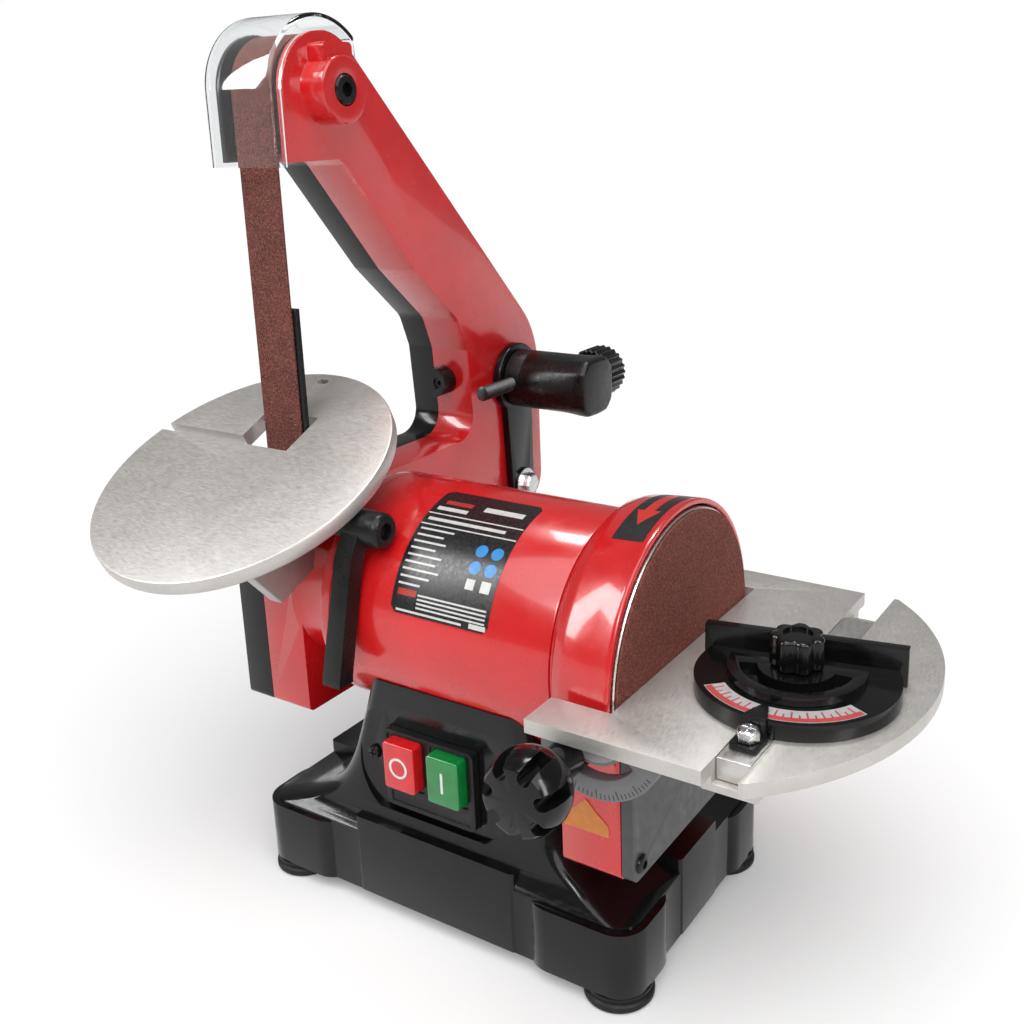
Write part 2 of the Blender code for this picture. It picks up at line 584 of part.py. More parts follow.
def belt_frame():
    """Red casting that carries the wheels on its right wall and runs into the motor barrel."""
    frame = add("belt_frame", prism(arm_outline(), "X", FRAME_LEFT, FRAME_RIGHT), red_paint("frame_red"))
    neck = [(FRAME_RIGHT - 2, 41.5), (-174, 41.5), (-168, 47), (BARREL_LEFT - GAP, 54.5)]
    neck += [(BARREL_LEFT - GAP, 12), (FRAME_RIGHT - 2, 12)]
    weld(frame, turned(neck, "X", sides=FINE))
    weld(frame, rod("X", TOP_WHEEL, 15.6, FRAME_RIGHT - 2, -180.5, 32))
    pad = [(-3.5, 250), (16, 250), (16, 262.5), (-3.5, 262.5)]
    weld(frame, prism(pad, "X", FRAME_RIGHT - 1.5, -184))
    hollow(frame, FRAME_LEFT - 2, FRAME_RIGHT - PLATE)
    y, z = TENSION_WHEEL
    window = rounded([(y - 17, z - 7, 5), (y + 7, z - 7, 5), (y + 7, z + 7, 5), (y - 17, z + 7, 5)])
    cut(frame, prism(window, "X", -204.7, -185.3))
    cut(frame, rod("X", ARM_PIVOT, AXLE_R + GAP, -205.3, -185.1))
    cut(frame, rod("X", (0, 0), SHAFT_R + 1.5, -210.2, -180.4, 18))
    cut(frame, rod("X", TOP_WHEEL, AXLE_R + GAP, -211.1, -170.2, 18))
    cut(frame, rod("X", TOP_WHEEL, 7.5, -185.6, -171, 24))


def side_cover():
    """Black cover that closes the arm from the left, and its fixing screws."""
    body = prism(arm_outline(), "X", COVER_LEFT, FRAME_LEFT - GAP)
    cover = add("side_cover", body, black_gloss("cover_black"))
    hollow(cover, COVER_LEFT + COVER_PLATE, FRAME_LEFT + 3)
    for name, at in (("upper", (60.0, 200.0)), ("rear", (158.0, 20.0)), ("lower", (-10.0, -46.0))):
        cut(cover, rod("X", at, 2.5 + GAP, COVER_LEFT - 6, COVER_LEFT + 6, 14))
        screw = [(COVER_LEFT - 3, 0.0), (COVER_LEFT - 3, 4.0), (COVER_LEFT - GAP, 4.6)]
        screw += [(COVER_LEFT - GAP, 2.5), (COVER_LEFT + 8, 2.5), (COVER_LEFT + 8, 0.0)]
        add(f"cover_screw_{name}", turned(screw, "X", at, 16), steel(f"cover_screw_{name}_steel"))


def top_guard():
    """Clear hood over the top wheel: a front and top band, a left wall, and a rim beside the casting."""
    y, z = TOP_WHEEL
    outer, inner = 35.0, 33.2
    left, right = COVER_LEFT - 2.5, FRAME_RIGHT - 0.5

    def dome(radius, bottom, rear, steps):
        crown = arc(TOP_WHEEL, radius, 180, 46, steps)
        return [(y - radius, bottom), *crown, (rear, 255.0), (rear - 6, bottom)]

    guard = add("top_guard", prism(dome(outer, 207.0, 30.0, 16), "X", left, right), clear("guard_clear"))
    bevel = guard.modifiers.new("edge", "BEVEL")
    bevel.width = 0.006
    bevel.segments = 3
    bevel.limit_method = "ANGLE"
    bevel.angle_limit = radians(60)
    cut(guard, prism(dome(inner, 180.0, 60.0, 18), "X", left + 1.9, right - 2.0))
    rim = [(y - 27.5, 180.0), *arc(TOP_WHEEL, 27.5, 180, 43.4, 14), (86, 196), (86, 180)]
    cut(guard, prism(rim, "X", right - 4, right + 4))
    screw_at = (y - 16, z + 9)
    cut(guard, rod("X", screw_at, 2 + GAP, left - 5, left + 3, 12))
    pin = [(left - 2.6, 0.0), (left - 2.6, 2.6), (left - GAP, 3.4), (left - GAP, 2.0)]
    pin += [(COVER_LEFT + 1.5, 2.0), (COVER_LEFT + 1.5, 0.0)]
    add("guard_screw", turned(pin, "X", screw_at, 14), black_satin("guard_screw_black"))
    cut(bpy.data.objects["side_cover"], rod("X", screw_at, 2 + GAP, COVER_LEFT - 3, COVER_LEFT + 4, 12))


def belt_loop(extra):
    """Outline of a band round the three wheels, this far outside them."""
    wheels = [((0.0, 0.0), DRIVE_R), (TENSION_WHEEL, TENSION_R), (TOP_WHEEL, TOP_R)]
    angles = []
    for i, (centre, radius) in enumerate(wheels):
        other, other_radius = wheels[(i + 1) % 3]
        run = hypot(other[0] - centre[0], other[1] - centre[1])
        heading = atan2(other[1] - centre[1], other[0] - centre[0])
        angles.append(heading - acos((radius - other_radius) / run))
    outline = []
    for i, (centre, radius) in enumerate(wheels):
        start, end = angles[i - 1], angles[i]
        while end < start:
            end += 2 * pi
        outline += arc(centre, radius + extra, degrees_of(start), degrees_of(end), 14)
    return outline


def sanding_belt():
    """Endless abrasive belt: an outer and an inner loop joined into one band."""
    low, high = BELT_X - BELT_WIDTH / 2, BELT_X + BELT_WIDTH / 2
    inner, outer = belt_loop(GAP), belt_loop(GAP + BELT_THICK)
    bm = bmesh.new()
    rings = [[bm.verts.new(place("X", *p, w)) for p in loop] for loop, w in
             ((inner, low), (outer, low), (outer, high), (inner, high))]
    count = len(inner)
    for k in range(4):
        first, second = rings[k], rings[(k + 1) % 4]
        for i in range(count):
            j = (i + 1) % count
            bm.faces.new((first[i], first[j], second[j], second[i]))
    bmesh.ops.recalc_face_normals(bm, faces=bm.faces)
    add("sanding_belt", bm, abrasive("belt_abrasive"))


def wheels():
    """Drive wheel on the shaft, top wheel on its bolt, and tension wheel on the arm's axle."""
    wheel("drive_wheel", (0.0, 0.0), DRIVE_R, SHAFT_R + GAP, black_satin("drive_wheel_rubber"))
    wheel("top_wheel", TOP_WHEEL, TOP_R, AXLE_R + GAP, black_satin("top_wheel_plastic"))
    wheel("tension_wheel", TENSION_WHEEL, TENSION_R, AXLE_R + GAP, black_satin("tension_wheel_plastic"))
    end = BELT_X - WHEEL_WIDTH / 2 - 3
    bolt = [(end, 0.0), (end, AXLE_R), (-185.2, AXLE_R), (-185.2, 7.0), (-180.2, 7.0)]
    bolt += [(-179.6, 6.4), (-179.6, 3.2), (-183.0, 3.2), (-183.0, 0.0)]
    add("top_wheel_bolt", turned(bolt, "X", TOP_WHEEL, SMALL), black_satin("top_bolt_black"))


def platen():
    """Steel backing plate behind the belt's front run, with a foot against the casting's wall."""
    front = -DRIVE_R + 0.1
    plate = add("platen", box(-229, -201, front, front + 3, 12, 140), black_satin("platen_black"))
    weld(plate, box(-202.5, FRAME_RIGHT - PLATE - GAP, front + 1, -8, 22, 34))


def tension_unit():
    """Swinging steel arm, hand grip, wheel axle, tracking knob, stop screw and the arm's pivot bolt."""
    y, z = TENSION_WHEEL
    low, high = FRAME_RIGHT + GAP, FRAME_RIGHT + 5
    py, pz = ARM_PIVOT
    pivot = (low, py, pz)
    plate = [(py - 11.5, pz), *arc(ARM_PIVOT, 11.5, 182, 358, 12), (py + 11.5, pz)]
    plate += arc(TENSION_WHEEL, 21.0, -50, 230, 24)
    arm = add("tension_arm", prism(plate, "X", low, high), black_gloss("arm_black"), pivot)
    cut(arm, rod("X", ARM_PIVOT, AXLE_R + GAP, low - 3, high + 3))
    cut(arm, rod("X", TENSION_WHEEL, AXLE_R + GAP, low - 3, high + 3))
    bolt = [(-202.5, 0.0), (-202.5, AXLE_R), (high + GAP, AXLE_R), (high + GAP, 6.8), (high + 6, 6.8)]
    bolt += [(high + 7, 5.8), (high + 7, 0.0)]
    add("arm_pivot_bolt", turned(bolt, "X", ARM_PIVOT, SMALL), steel("pivot_bolt_steel"))
    end = BELT_X - WHEEL_WIDTH / 2 - 3
    add("tension_axle", rod("X", TENSION_WHEEL, AXLE_R, end, -178, SMALL, 0.6), steel("axle_steel"), pivot)
    grip_end = -132.5
    sections = []
    for x, radius, square in ((high + GAP, 17.5, 0.0), (high + 12, 17.5, 0.0), (grip_end - 14, 17.3, 0.35),
                              (grip_end - 3, 17.0, 0.8), (grip_end - 0.8, 16.2, 0.8), (grip_end, 15.0, 0.8)):
        ring = []
        for i in range(24):
            angle = 2 * pi * i / 24
            corner = 1 / max(abs(cos(angle)), abs(sin(angle)))
            reach = radius * (1 + square * (min(corner, 1.16) - 1))
            ring.append((x, y + reach * cos(angle), z + reach * sin(angle)))
        sections.append(ring)
    grip = add("tension_grip", loft(sections), black_satin("grip_black"), pivot)
    cut(grip, rod("X", TENSION_WHEEL, AXLE_R + GAP, high - 2, -177))
    at = (-153.5, z)
    cut(grip, rod("Y", at, 3 + GAP, y + 5, y + 30, 16))
    hub = y + 20.0
    body = lobed("Y", at, 15.5, 1.4, 12, hub + 5, hub + 23, 2.0, 3)
    knob = add("tracking_knob", body, black_gloss("tracking_black"), (at[0], hub, z))
    weld(knob, turned([(hub + GAP, 0.0), (hub + GAP, 8.0), (hub + 6, 8.0), (hub + 6, 0.0)], "Y", at, 20))
    weld(knob, rod("Y", at, 3, y + 7, hub + 1, 16))
    screw = rod("Y", (STOP_SCREW_X, z), STOP_SCREW_R, y - 46, y - 11.5, 16, 0.5)
    add("stop_screw", screw, steel("stop_screw_steel"), pivot)
    cut(grip, rod("Y", (STOP_SCREW_X, z), STOP_SCREW_R + GAP, y - 48, y - 11, 16))


def belt_table():
    """Round table with its opening and slot, the rib that hangs from it, and the fixed bracket."""
    py, pz = BELT_PIVOT
    pivot = (BELT_X, py, pz)
    top = pz + 17.2
    bottom = top - BELT_TABLE_THICK
    centre = (-216.0, py + 5.8)
    sections = []
    for z, shrink in ((bottom, 0.8), (bottom + 0.8, 0.0), (top - 0.8, 0.0), (top, 0.8)):
        sections.append([(u, v, z) for u, v in arc(centre, BELT_TABLE_R - shrink, 0, 354, 59)])
    tilt = (BELT_TABLE_TILT, "X", pivot)
    table = add("belt_table", turn_mesh(loft(sections), *tilt), aluminium("belt_table_aluminium"), pivot)
    front = py + 22.3
    cut(table, turn_mesh(box(-235.0, -200.2, front, front + 26.1, bottom - 3, top + 3), *tilt))
    cut(table, turn_mesh(box(-300, -234.0, front + 0.1, front + 5.5, bottom - 3, top + 3), *tilt))
    pin = rounded_rectangle(-222.5, -215.5, py + 74, py + 77.5, 1.7)
    cut(table, turn_mesh(prism(pin, "Z", bottom - 3, top + 3), *tilt))
    rib = [(py + 34, bottom - GAP), (py + 12, pz - 1), (py - 9, pz - 29), (py - 33, pz - 27.7)]
    rib += [(py - 44, bottom - GAP)]
    rib = turn_mesh(prism(rib, "X", -187.4, -179.4), *tilt)
    piece = add("belt_table_rib", rib, aluminium("rib_aluminium"), pivot)
    cut(piece, rod("X", BELT_PIVOT, AXLE_R + GAP, -195, -170))
    ear = [*arc(BELT_PIVOT, 8.8, 60, 250, 12), (-36, 28.5), (-25.5, 36.5), (-25.5, 43)]
    ear = prism(ear, "X", FRAME_RIGHT + GAP, -187.7)
    bracket = add("belt_table_bracket", ear, black_satin("bracket_black"))
    cut(bracket, rod("X", BELT_PIVOT, AXLE_R + GAP, -200, -180))
    bolt = [(-200, 0.0), (-200, 6.4), (FRAME_RIGHT, 6.4), (FRAME_RIGHT, AXLE_R), (-138, AXLE_R), (-138, 0.0)]
    add("belt_table_bolt", turned(bolt, "X", BELT_PIVOT, SMALL), steel("table_bolt_steel"), pivot)


def table_lever():
    """Clamping lever on the end of the belt table's bolt, hanging in front of the barrel."""
    y, z = BELT_PIVOT
    pivot = (-144.0, y, z)
    hub = [(-178.6, 0.0), (-178.6, 6.4), (-150, 6.4), (-149, 8.4), (-130, 8.4), (-128, 6.8)]
    hub += [(-128, 3.6), (-132, 3.6), (-132, 0.0)]
    lever = add("table_lever", turned(hub, "X", BELT_PIVOT, 18), black_satin("lever_black"), pivot)
    shoulder = [(-147.5, y - 7.5), (-137.5, y - 7.5), (-137.5, y + 1), (-147.5, y + 1)]
    upper = [(-148.5, y - 13.4), (-138.5, y - 13.4), (-138.5, y - 4.6), (-148.5, y - 4.6)]
    lower = [(-150, y - 25.6), (-139.5, y - 25.6), (-139.5, y - 16.6), (-150, y - 16.6)]
    sections = [[(u, v, z + 1) for u, v in shoulder], [(u, v, z - 12) for u, v in upper]]
    sections += [[(u, v, z - 67) for u, v in lower], [(u * 0.999, v - 0.4, z - 70) for u, v in lower]]
    weld(lever, loft(sections))
    cut(lever, rod("X", BELT_PIVOT, AXLE_R + GAP, -190, -136))


def build():
    base_housing()
    base_fittings()
    switch_unit()
    motor()
    disc()
    disc_housing()
    disc_cover()
    disc_table()
    lock_knob()
    mitre_gauge()
    belt_frame()
    side_cover()
    top_guard()
    sanding_belt()
    wheels()
    platen()
    tension_unit()
    belt_table()
    table_lever()


for old in list(bpy.data.objects):
    bpy.data.objects.remove(old, do_unlink=True)
ORIGIN = bpy.data.objects.new("sander_origin", None)
ORIGIN.location = Vector(MOTOR_AXIS) * MM
bpy.context.scene.collection.objects.link(ORIGIN)
build()
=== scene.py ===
from math import acos, asin, atan2, cos, degrees, hypot, pi, radians, sin, sqrt, tan

import bmesh
import bpy
from mathutils import Matrix, Vector


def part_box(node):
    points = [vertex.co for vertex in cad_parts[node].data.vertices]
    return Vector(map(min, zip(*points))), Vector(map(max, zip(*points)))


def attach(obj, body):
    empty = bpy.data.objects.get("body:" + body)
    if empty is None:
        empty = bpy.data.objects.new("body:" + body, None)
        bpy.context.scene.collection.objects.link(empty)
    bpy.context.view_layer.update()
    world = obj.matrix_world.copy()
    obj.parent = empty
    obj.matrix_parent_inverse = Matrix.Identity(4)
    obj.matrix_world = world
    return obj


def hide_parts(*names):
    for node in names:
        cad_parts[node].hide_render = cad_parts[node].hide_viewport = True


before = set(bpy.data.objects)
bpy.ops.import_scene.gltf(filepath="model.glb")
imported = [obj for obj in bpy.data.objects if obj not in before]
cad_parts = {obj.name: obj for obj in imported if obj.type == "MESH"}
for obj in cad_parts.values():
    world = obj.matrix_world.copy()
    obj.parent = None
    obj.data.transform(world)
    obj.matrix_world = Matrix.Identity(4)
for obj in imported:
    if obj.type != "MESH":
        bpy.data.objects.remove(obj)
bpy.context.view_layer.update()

MM = 0.001


# ---- sizes taken from the frame
def spot(x, y, z):
    """A point of the row frame, in millimetres from the middle of the disc's face."""
    return Vector((x, y, z)) / MM - AXIS


def span(node):
    """Lowest and highest corner of a CAD node, in millimetres from the middle of the disc's face."""
    low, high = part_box(node)
    return spot(*low), spot(*high)


def middle(node):
    low, high = span(node)
    return (low + high) / 2


def seen(node, axis):
    """Middle of a CAD node as seen along an axis."""
    x, y, z = middle(node)
    return {"X": (y, z), "Y": (x, z), "Z": (x, y)}[axis]


_low, _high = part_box("abrasive_disc")
AXIS = Vector((_high[0], (_low[1] + _high[1]) / 2, (_low[2] + _high[2]) / 2)) / MM
DISC_R = (_high[2] - _low[2]) / 2 / MM

GAP = 0.3
PIN_R = 4.0                   # bolts and axles of the belt side
PIN_HOLE = PIN_R + GAP
BELT_LOW, BELT_HIGH = (corner.x for corner in span("sanding_belt"))
BELT_X = (BELT_LOW + BELT_HIGH) / 2
BELT_THICK = 0.9
DRIVE_R = 18.8
TOP_WHEEL = seen("top_wheel", "X")
TOP_R = span("top_wheel")[1].z - TOP_WHEEL[1]
TENSION_WHEEL = seen("tension_wheel", "X")
TENSION_R = span("tension_wheel")[1].z - TENSION_WHEEL[1]

BARREL_LEFT, BARREL_RIGHT = span("motor_housing")[0].x, -36.0
BARREL_R = 56.5
FRAME_LEFT, FRAME_RIGHT = -219.7, -194.0
COVER_LEFT = span("side_cover")[0].x
HEAD_R = 27.0
WALL = 3.5

BASE_LOW, BASE_HIGH = span("base_housing")
BASE_TOP = -108.0
PANEL_STEP = 3.0
PEDESTAL_FRONT = 51.0
SWITCH_LOW, SWITCH_HIGH = span("switch_body")

TABLE_TOP = span("disc_table")[1].z
TABLE_HALF = 90.0
TILT_AXIS = (1.5, TABLE_TOP)
SLOT_X = middle("miter_bar").x
SLOT_HALF = 7.1
LOCK_AT = seen("lock_bolt", "Y")
SECTOR_Y = (78.0, 84.0)
SECTOR_R = 30.0
LOCK_BOLT_R = 2.5
HEAD_AT = (SLOT_X, -17.0)
HEAD_R_MITER = 41.0
HEAD_TURN = radians(11)
HEAD_TOP = 10.0
ARM_PIVOT = seen("arm_pivot_bolt", "X")
BELT_PIVOT = seen("belt_table_bolt", "X")
TABLE_TILT = radians(25)
BELT_TABLE_R = 77.0
BELT_TABLE_HIGH = 17.2        # from the belt table's pivot up to its face
BELT_TABLE_THICK = 7.8


# ---- materials
class Surface:
    """A Principled material with its colour, roughness and bump worked out by nodes."""

    def __init__(self, name, colour, roughness, metallic=0.0, coat=0.0, shine=0.5):
        self.material = bpy.data.materials.new(name)
        self.material.use_nodes = True
        self.nodes = self.material.node_tree.nodes
        self.links = self.material.node_tree.links
        self.shader = self.nodes["Principled BSDF"]
        self.colour = colour
        self.roughness = roughness
        self.normal = None
        self.shader.inputs["Base Color"].default_value = (*colour, 1)
        self.shader.inputs["Roughness"].default_value = roughness
        self.shader.inputs["Metallic"].default_value = metallic
        self.shader.inputs["Specular IOR Level"].default_value = shine
        if coat:
            self.shader.inputs["Coat Weight"].default_value = coat
            self.shader.inputs["Coat Roughness"].default_value = 0.06

    def place(self, scale=(1, 1, 1)):
        """Position on the object, in millimetres, stretched by scale."""
        where = self.nodes.new("ShaderNodeTexCoord")
        mapping = self.nodes.new("ShaderNodeMapping")
        mapping.inputs["Scale"].default_value = [s / MM for s in scale]
        self.links.new(where.outputs["Object"], mapping.inputs["Vector"])
        return mapping.outputs["Vector"]

    def noise(self, size, detail=3.0, scale=(1, 1, 1), rough=0.55):
        """Noise whose blobs are about this many millimetres across."""
        node = self.nodes.new("ShaderNodeTexNoise")
        node.inputs["Scale"].default_value = 1.0 / size
        node.inputs["Detail"].default_value = detail
        node.inputs["Roughness"].default_value = rough
        self.links.new(self.place(scale), node.inputs["Vector"])
        return node.outputs["Fac"]

    def cells(self, size):
        """Distance to the nearest of scattered points, for grains about this many millimetres across."""
        node = self.nodes.new("ShaderNodeTexVoronoi")
        node.inputs["Scale"].default_value = 1.0 / size
        self.links.new(self.place(), node.inputs["Vector"])
        return node.outputs["Distance"]

    def ramp(self, value, stops):
        """Colour ramp from (position, colour) stops."""
        node = self.nodes.new("ShaderNodeValToRGB")
        elements = node.color_ramp.elements
        while len(elements) < len(stops):
            elements.new(0.5)
        for element, (position, colour) in zip(elements, stops):
            element.position = position
            element.color = (*colour, 1)
        self.links.new(value, node.inputs["Fac"])
        return node.outputs["Color"]

    def reach(self, value, low, high):
        """Maps the middle of a noise's range onto low..high."""
        node = self.nodes.new("ShaderNodeMapRange")
        for key, number in (("From Min", 0.3), ("From Max", 0.7), ("To Min", low), ("To Max", high)):
            node.inputs[key].default_value = number
        self.links.new(value, node.inputs["Value"])
        return node.outputs["Result"]

    def mix(self, factor, first, second):
        """Blend of two colours, each a plain one or one worked out by nodes."""
        node = self.nodes.new("ShaderNodeMix")
        node.data_type = "RGBA"
        if isinstance(factor, float):
            node.inputs["Factor"].default_value = factor
        else:
            self.links.new(factor, node.inputs["Factor"])
        for key, colour in ((6, first), (7, second)):
            if isinstance(colour, tuple):
                node.inputs[key].default_value = (*colour, 1)
            else:
                self.links.new(colour, node.inputs[key])
        return node.outputs[2]

    def tint(self, value, spread):
        """Colour that drifts darker and lighter by this share."""
        dark = tuple(c * (1 - spread) for c in self.colour)
        light = tuple(min(1.0, c * (1 + spread)) for c in self.colour)
        self.paint(self.ramp(value, [(0.3, dark), (0.7, light)]))

    def paint(self, colour):
        self.links.new(colour, self.shader.inputs["Base Color"])

    def polish(self, value, spread):
        """Roughness that varies by this much."""
        low, high = max(0.02, self.roughness - spread), self.roughness + spread
        self.links.new(self.reach(value, low, high), self.shader.inputs["Roughness"])

    def bump(self, value, depth, strength=1.0):
        """Adds relief of this depth in millimetres."""
        node = self.nodes.new("ShaderNodeBump")
        node.inputs["Strength"].default_value = strength
        node.inputs["Distance"].default_value = depth * MM
        self.links.new(value, node.inputs["Height"])
        if self.normal:
            self.links.new(self.normal, node.inputs["Normal"])
        self.normal = node.outputs["Normal"]
        self.links.new(self.normal, self.shader.inputs["Normal"])
        return self


def finish(surface, drift, gloss, *relief):
    """Drifting colour, uneven gloss and relief, each row a noise's settings and then its amount."""
    surface.tint(surface.noise(*drift[:-1]), drift[-1])
    surface.polish(surface.noise(*gloss[:-1]), gloss[-1])
    for *grain, depth, strength in relief:
        surface.bump(surface.noise(*grain), depth, strength)
    return surface.material


def enamel(name):
    """Gloss enamel over a casting: faint orange peel, dust and uneven gloss."""
    s = Surface(name, (0.60, 0.009, 0.011), 0.24, coat=0.6)
    return finish(s, (38, 4, 0.10), (9, 6, 0.06), (2.6, 2, 0.05, 0.35), (26, 2, 0.5, 0.25))


def gloss_black(name):
    """Gloss black moulding or paint with faint wipe marks."""
    s = Surface(name, (0.0050, 0.0050, 0.0054), 0.17, coat=0.12, shine=0.25)
    return finish(s, (24, 4, 0.35), (5, 7, (1, 1, 3), 0.09), (1.8, 3, 0.04, 0.4), (20, 2, 0.4, 0.2))


def satin_black(name, colour=(0.0060, 0.0060, 0.0064), rough=0.42):
    """Moulded or powder-coated black with a fine pebbled grain."""
    s = Surface(name, colour, rough, shine=0.3)
    s.tint(s.noise(16, 4), 0.25)
    s.polish(s.noise(4, 5), 0.08)
    s.bump(s.cells(0.55), 0.05, 0.5)
    return s.bump(s.noise(1.4, 3), 0.05, 0.4).material


def grey_coat(name, colour=(0.058, 0.058, 0.062)):
    """Dark grey powder coat."""
    s = Surface(name, colour, 0.4, coat=0.1, shine=0.4)
    return finish(s, (14, 5, 0.18), (5, 5, 0.1), (0.9, 3, 0.05, 0.5))


def rubber(name):
    s = Surface(name, (0.007, 0.007, 0.0074), 0.55, shine=0.3)
    return finish(s, (9, 5, 0.3), (3, 5, 0.12), (0.8, 4, 0.06, 0.6))


def machined(name, along="Y", colour=(0.57, 0.55, 0.52), rough=0.46, metallic=0.72):
    """Ground cast aluminium: long fine lines, cloudy casting patches and faint handling marks."""
    stretch = {"X": (0.12, 1, 1), "Y": (1, 0.12, 1), "Z": (1, 1, 0.12)}[along]
    s = Surface(name, colour, rough, metallic)
    lines = s.noise(0.5, 4, stretch, 0.7)
    clouds = s.noise(17, 6)
    dark = tuple(c * 0.86 for c in colour)
    light = tuple(min(1, c * 1.10) for c in colour)
    streaks = s.ramp(lines, [(0.32, dark), (0.66, light)])
    patches = s.ramp(clouds, [(0.34, tuple(c * 0.88 for c in colour)),
                              (0.66, tuple(min(1, c * 1.07) for c in colour))])
    s.paint(s.mix(0.5, streaks, patches))
    s.polish(lines, 0.1)
    s.bump(lines, 0.03, 0.5)
    return s.bump(s.noise(0.9, 4), 0.03, 0.35).material


def steel(name, colour=(0.56, 0.56, 0.57), rough=0.26):
    """Zinc-plated steel with turning marks and a slight mottle."""
    s = Surface(name, colour, rough, 1.0)
    return finish(s, (2.5, 6, 0.16), (1.2, 6, 0.1), (0.35, 3, (1, 1, 4), 0.02, 0.5))


def abrasive(name, base=(0.165, 0.038, 0.024)):
    """Aluminium-oxide grit on cloth: brown-red grains, bright crystal specks and darker worn areas."""
    s = Surface(name, base, 0.82, shine=0.3)
    grains = s.cells(0.9)
    fine = s.noise(0.8, 5, rough=0.8)
    tone = s.ramp(fine, [(0.40, tuple(c * 0.30 for c in base)), (0.50, base), (0.60, (0.36, 0.115, 0.08))])
    worn = s.ramp(s.noise(15, 5), [(0.35, tuple(c * 0.7 for c in base)), (0.65, (0.20, 0.058, 0.040))])
    s.paint(s.mix(0.25, tone, worn))
    s.polish(fine, 0.13)
    s.bump(grains, 0.32, 0.9)
    return s.bump(fine, 0.25, 0.8).material


def clear_plastic(name):
    """Clear polycarbonate with faint scuffs."""
    s = Surface(name, (0.95, 0.965, 0.97), 0.035)
    s.shader.inputs["Transmission Weight"].default_value = 1.0
    s.shader.inputs["IOR"].default_value = 1.5
    s.polish(s.noise(1.5, 8, (1, 1, 6)), 0.03)
    return s.bump(s.noise(14, 3), 0.25, 0.12).material


def print_ink(name, colour, rough=0.35):
    """Printed film: nearly even colour with a trace of texture."""
    s = Surface(name, colour, rough)
    return finish(s, (3.5, 4, 0.10), (2, 4, 0.06), (0.7, 2, 0.01, 0.3))


def button_plastic(name, colour):
    """Glossy translucent-looking switch cap."""
    s = Surface(name, colour, 0.2, coat=0.5)
    s.shader.inputs["Subsurface Weight"].default_value = 0.05
    return finish(s, (7, 3, 0.14), (3, 5, 0.06), (1.1, 2, 0.02, 0.3))


# ---- outlines
def arc(centre, radius, start, end, steps):
    """Points on a circle, both ends included; angles in degrees."""
    turns = [radians(start + (end - start) * i / steps) for i in range(steps + 1)]
    return [(centre[0] + radius * cos(a), centre[1] + radius * sin(a)) for a in turns]


def rounded(corners, steps=8):
    """Closed outline from corners (u, v, fillet radius)."""
    outline = []
    count = len(corners)
    for i, (u, v, radius) in enumerate(corners):
        if radius <= 0.0:
            outline.append((u, v))
            continue
        here = Vector((u, v))
        back = (Vector(corners[i - 1][:2]) - here).normalized()
        ahead = (Vector(corners[(i + 1) % count][:2]) - here).normalized()
        half = acos(max(-1.0, min(1.0, back.dot(ahead)))) / 2
        centre = here + (back + ahead).normalized() * (radius / sin(half))
        start = here + back * (radius / tan(half)) - centre
        end = here + ahead * (radius / tan(half)) - centre
        turn = atan2(start.x * end.y - start.y * end.x, start.dot(end))
        for k in range(steps + 1):
            outline.append(tuple(centre + Matrix.Rotation(turn * k / steps, 2) @ start))
    return outline


def rectangle(x0, x1, y0, y1, radius, steps=8):
    return rounded([(x0, y0, radius), (x1, y0, radius), (x1, y1, radius), (x0, y1, radius)], steps)


def inset(corners, distance):
    """The corners of a clockwise chain moved inwards; the two end corners are dropped."""
    moved = []
    for i in range(1, len(corners) - 1):
        before, here, after = (Vector(corners[i + k][:2]) for k in (-1, 0, 1))
        arriving = (here - before).normalized()
        leaving = (after - here).normalized()
        first = Vector((arriving.y, -arriving.x))
        second = Vector((leaving.y, -leaving.x))
        shift = (first + second) / (1 + first.dot(second))
        turn = arriving.x * leaving.y - arriving.y * leaving.x
        radius = corners[i][2] + (distance if turn > 0 else -distance)
        moved.append((*(here + shift * distance), max(radius, 1.0)))
    return moved


# ---- solids
def place(axis, u, v, w):
    """A point from an outline's (u, v) and the height w along the axis."""
    return {"X": (w, u, v), "Y": (u, w, v), "Z": (u, v, w)}[axis]


def outward(bm):
    bmesh.ops.recalc_face_normals(bm, faces=bm.faces)
    return bm


def loft(sections):
    """A closed solid through rings with the same number of points."""
    bm = bmesh.new()
    rings = [[bm.verts.new(point) for point in section] for section in sections]
    for lower, upper in zip(rings, rings[1:]):
        for i in range(len(lower)):
            j = (i + 1) % len(lower)
            bm.faces.new((lower[i], lower[j], upper[j], upper[i]))
    bm.faces.new(rings[0])
    bm.faces.new(rings[-1])
    return outward(bm)


def prism(outline, axis, low, high):
    return loft([[place(axis, u, v, w) for u, v in outline] for w in (low, high)])


def box(x0, x1, y0, y1, z0, z1):
    return prism([(x0, y0), (x1, y0), (x1, y1), (x0, y1)], "Z", z0, z1)


def turned(profile, axis, centre=(0.0, 0.0), sides=64):
    """Turn (w, radius) round an axis through centre; a profile off the axis closes on itself."""
    bm = bmesh.new()
    rings = []
    lead = 0.3 if sides > 12 else 0.0    # keeps the facets of nested round pieces out of line
    for w, radius in profile:
        ring = []
        for i in range(sides if radius else 1):
            angle = 2 * pi * (i + lead) / sides
            u, v = centre[0] + radius * cos(angle), centre[1] + radius * sin(angle)
            ring.append(bm.verts.new(place(axis, u, v, w)))
        rings.append(ring)
    pairs = list(zip(rings, rings[1:]))
    if len(rings[0]) > 1:
        pairs.append((rings[-1], rings[0]))
    for first, second in pairs:
        for i in range(sides):
            j = (i + 1) % sides
            if len(first) == 1:
                bm.faces.new((first[0], second[j], second[i]))
            elif len(second) == 1:
                bm.faces.new((first[i], first[j], second[0]))
            else:
                bm.faces.new((first[i], first[j], second[j], second[i]))
    return outward(bm)


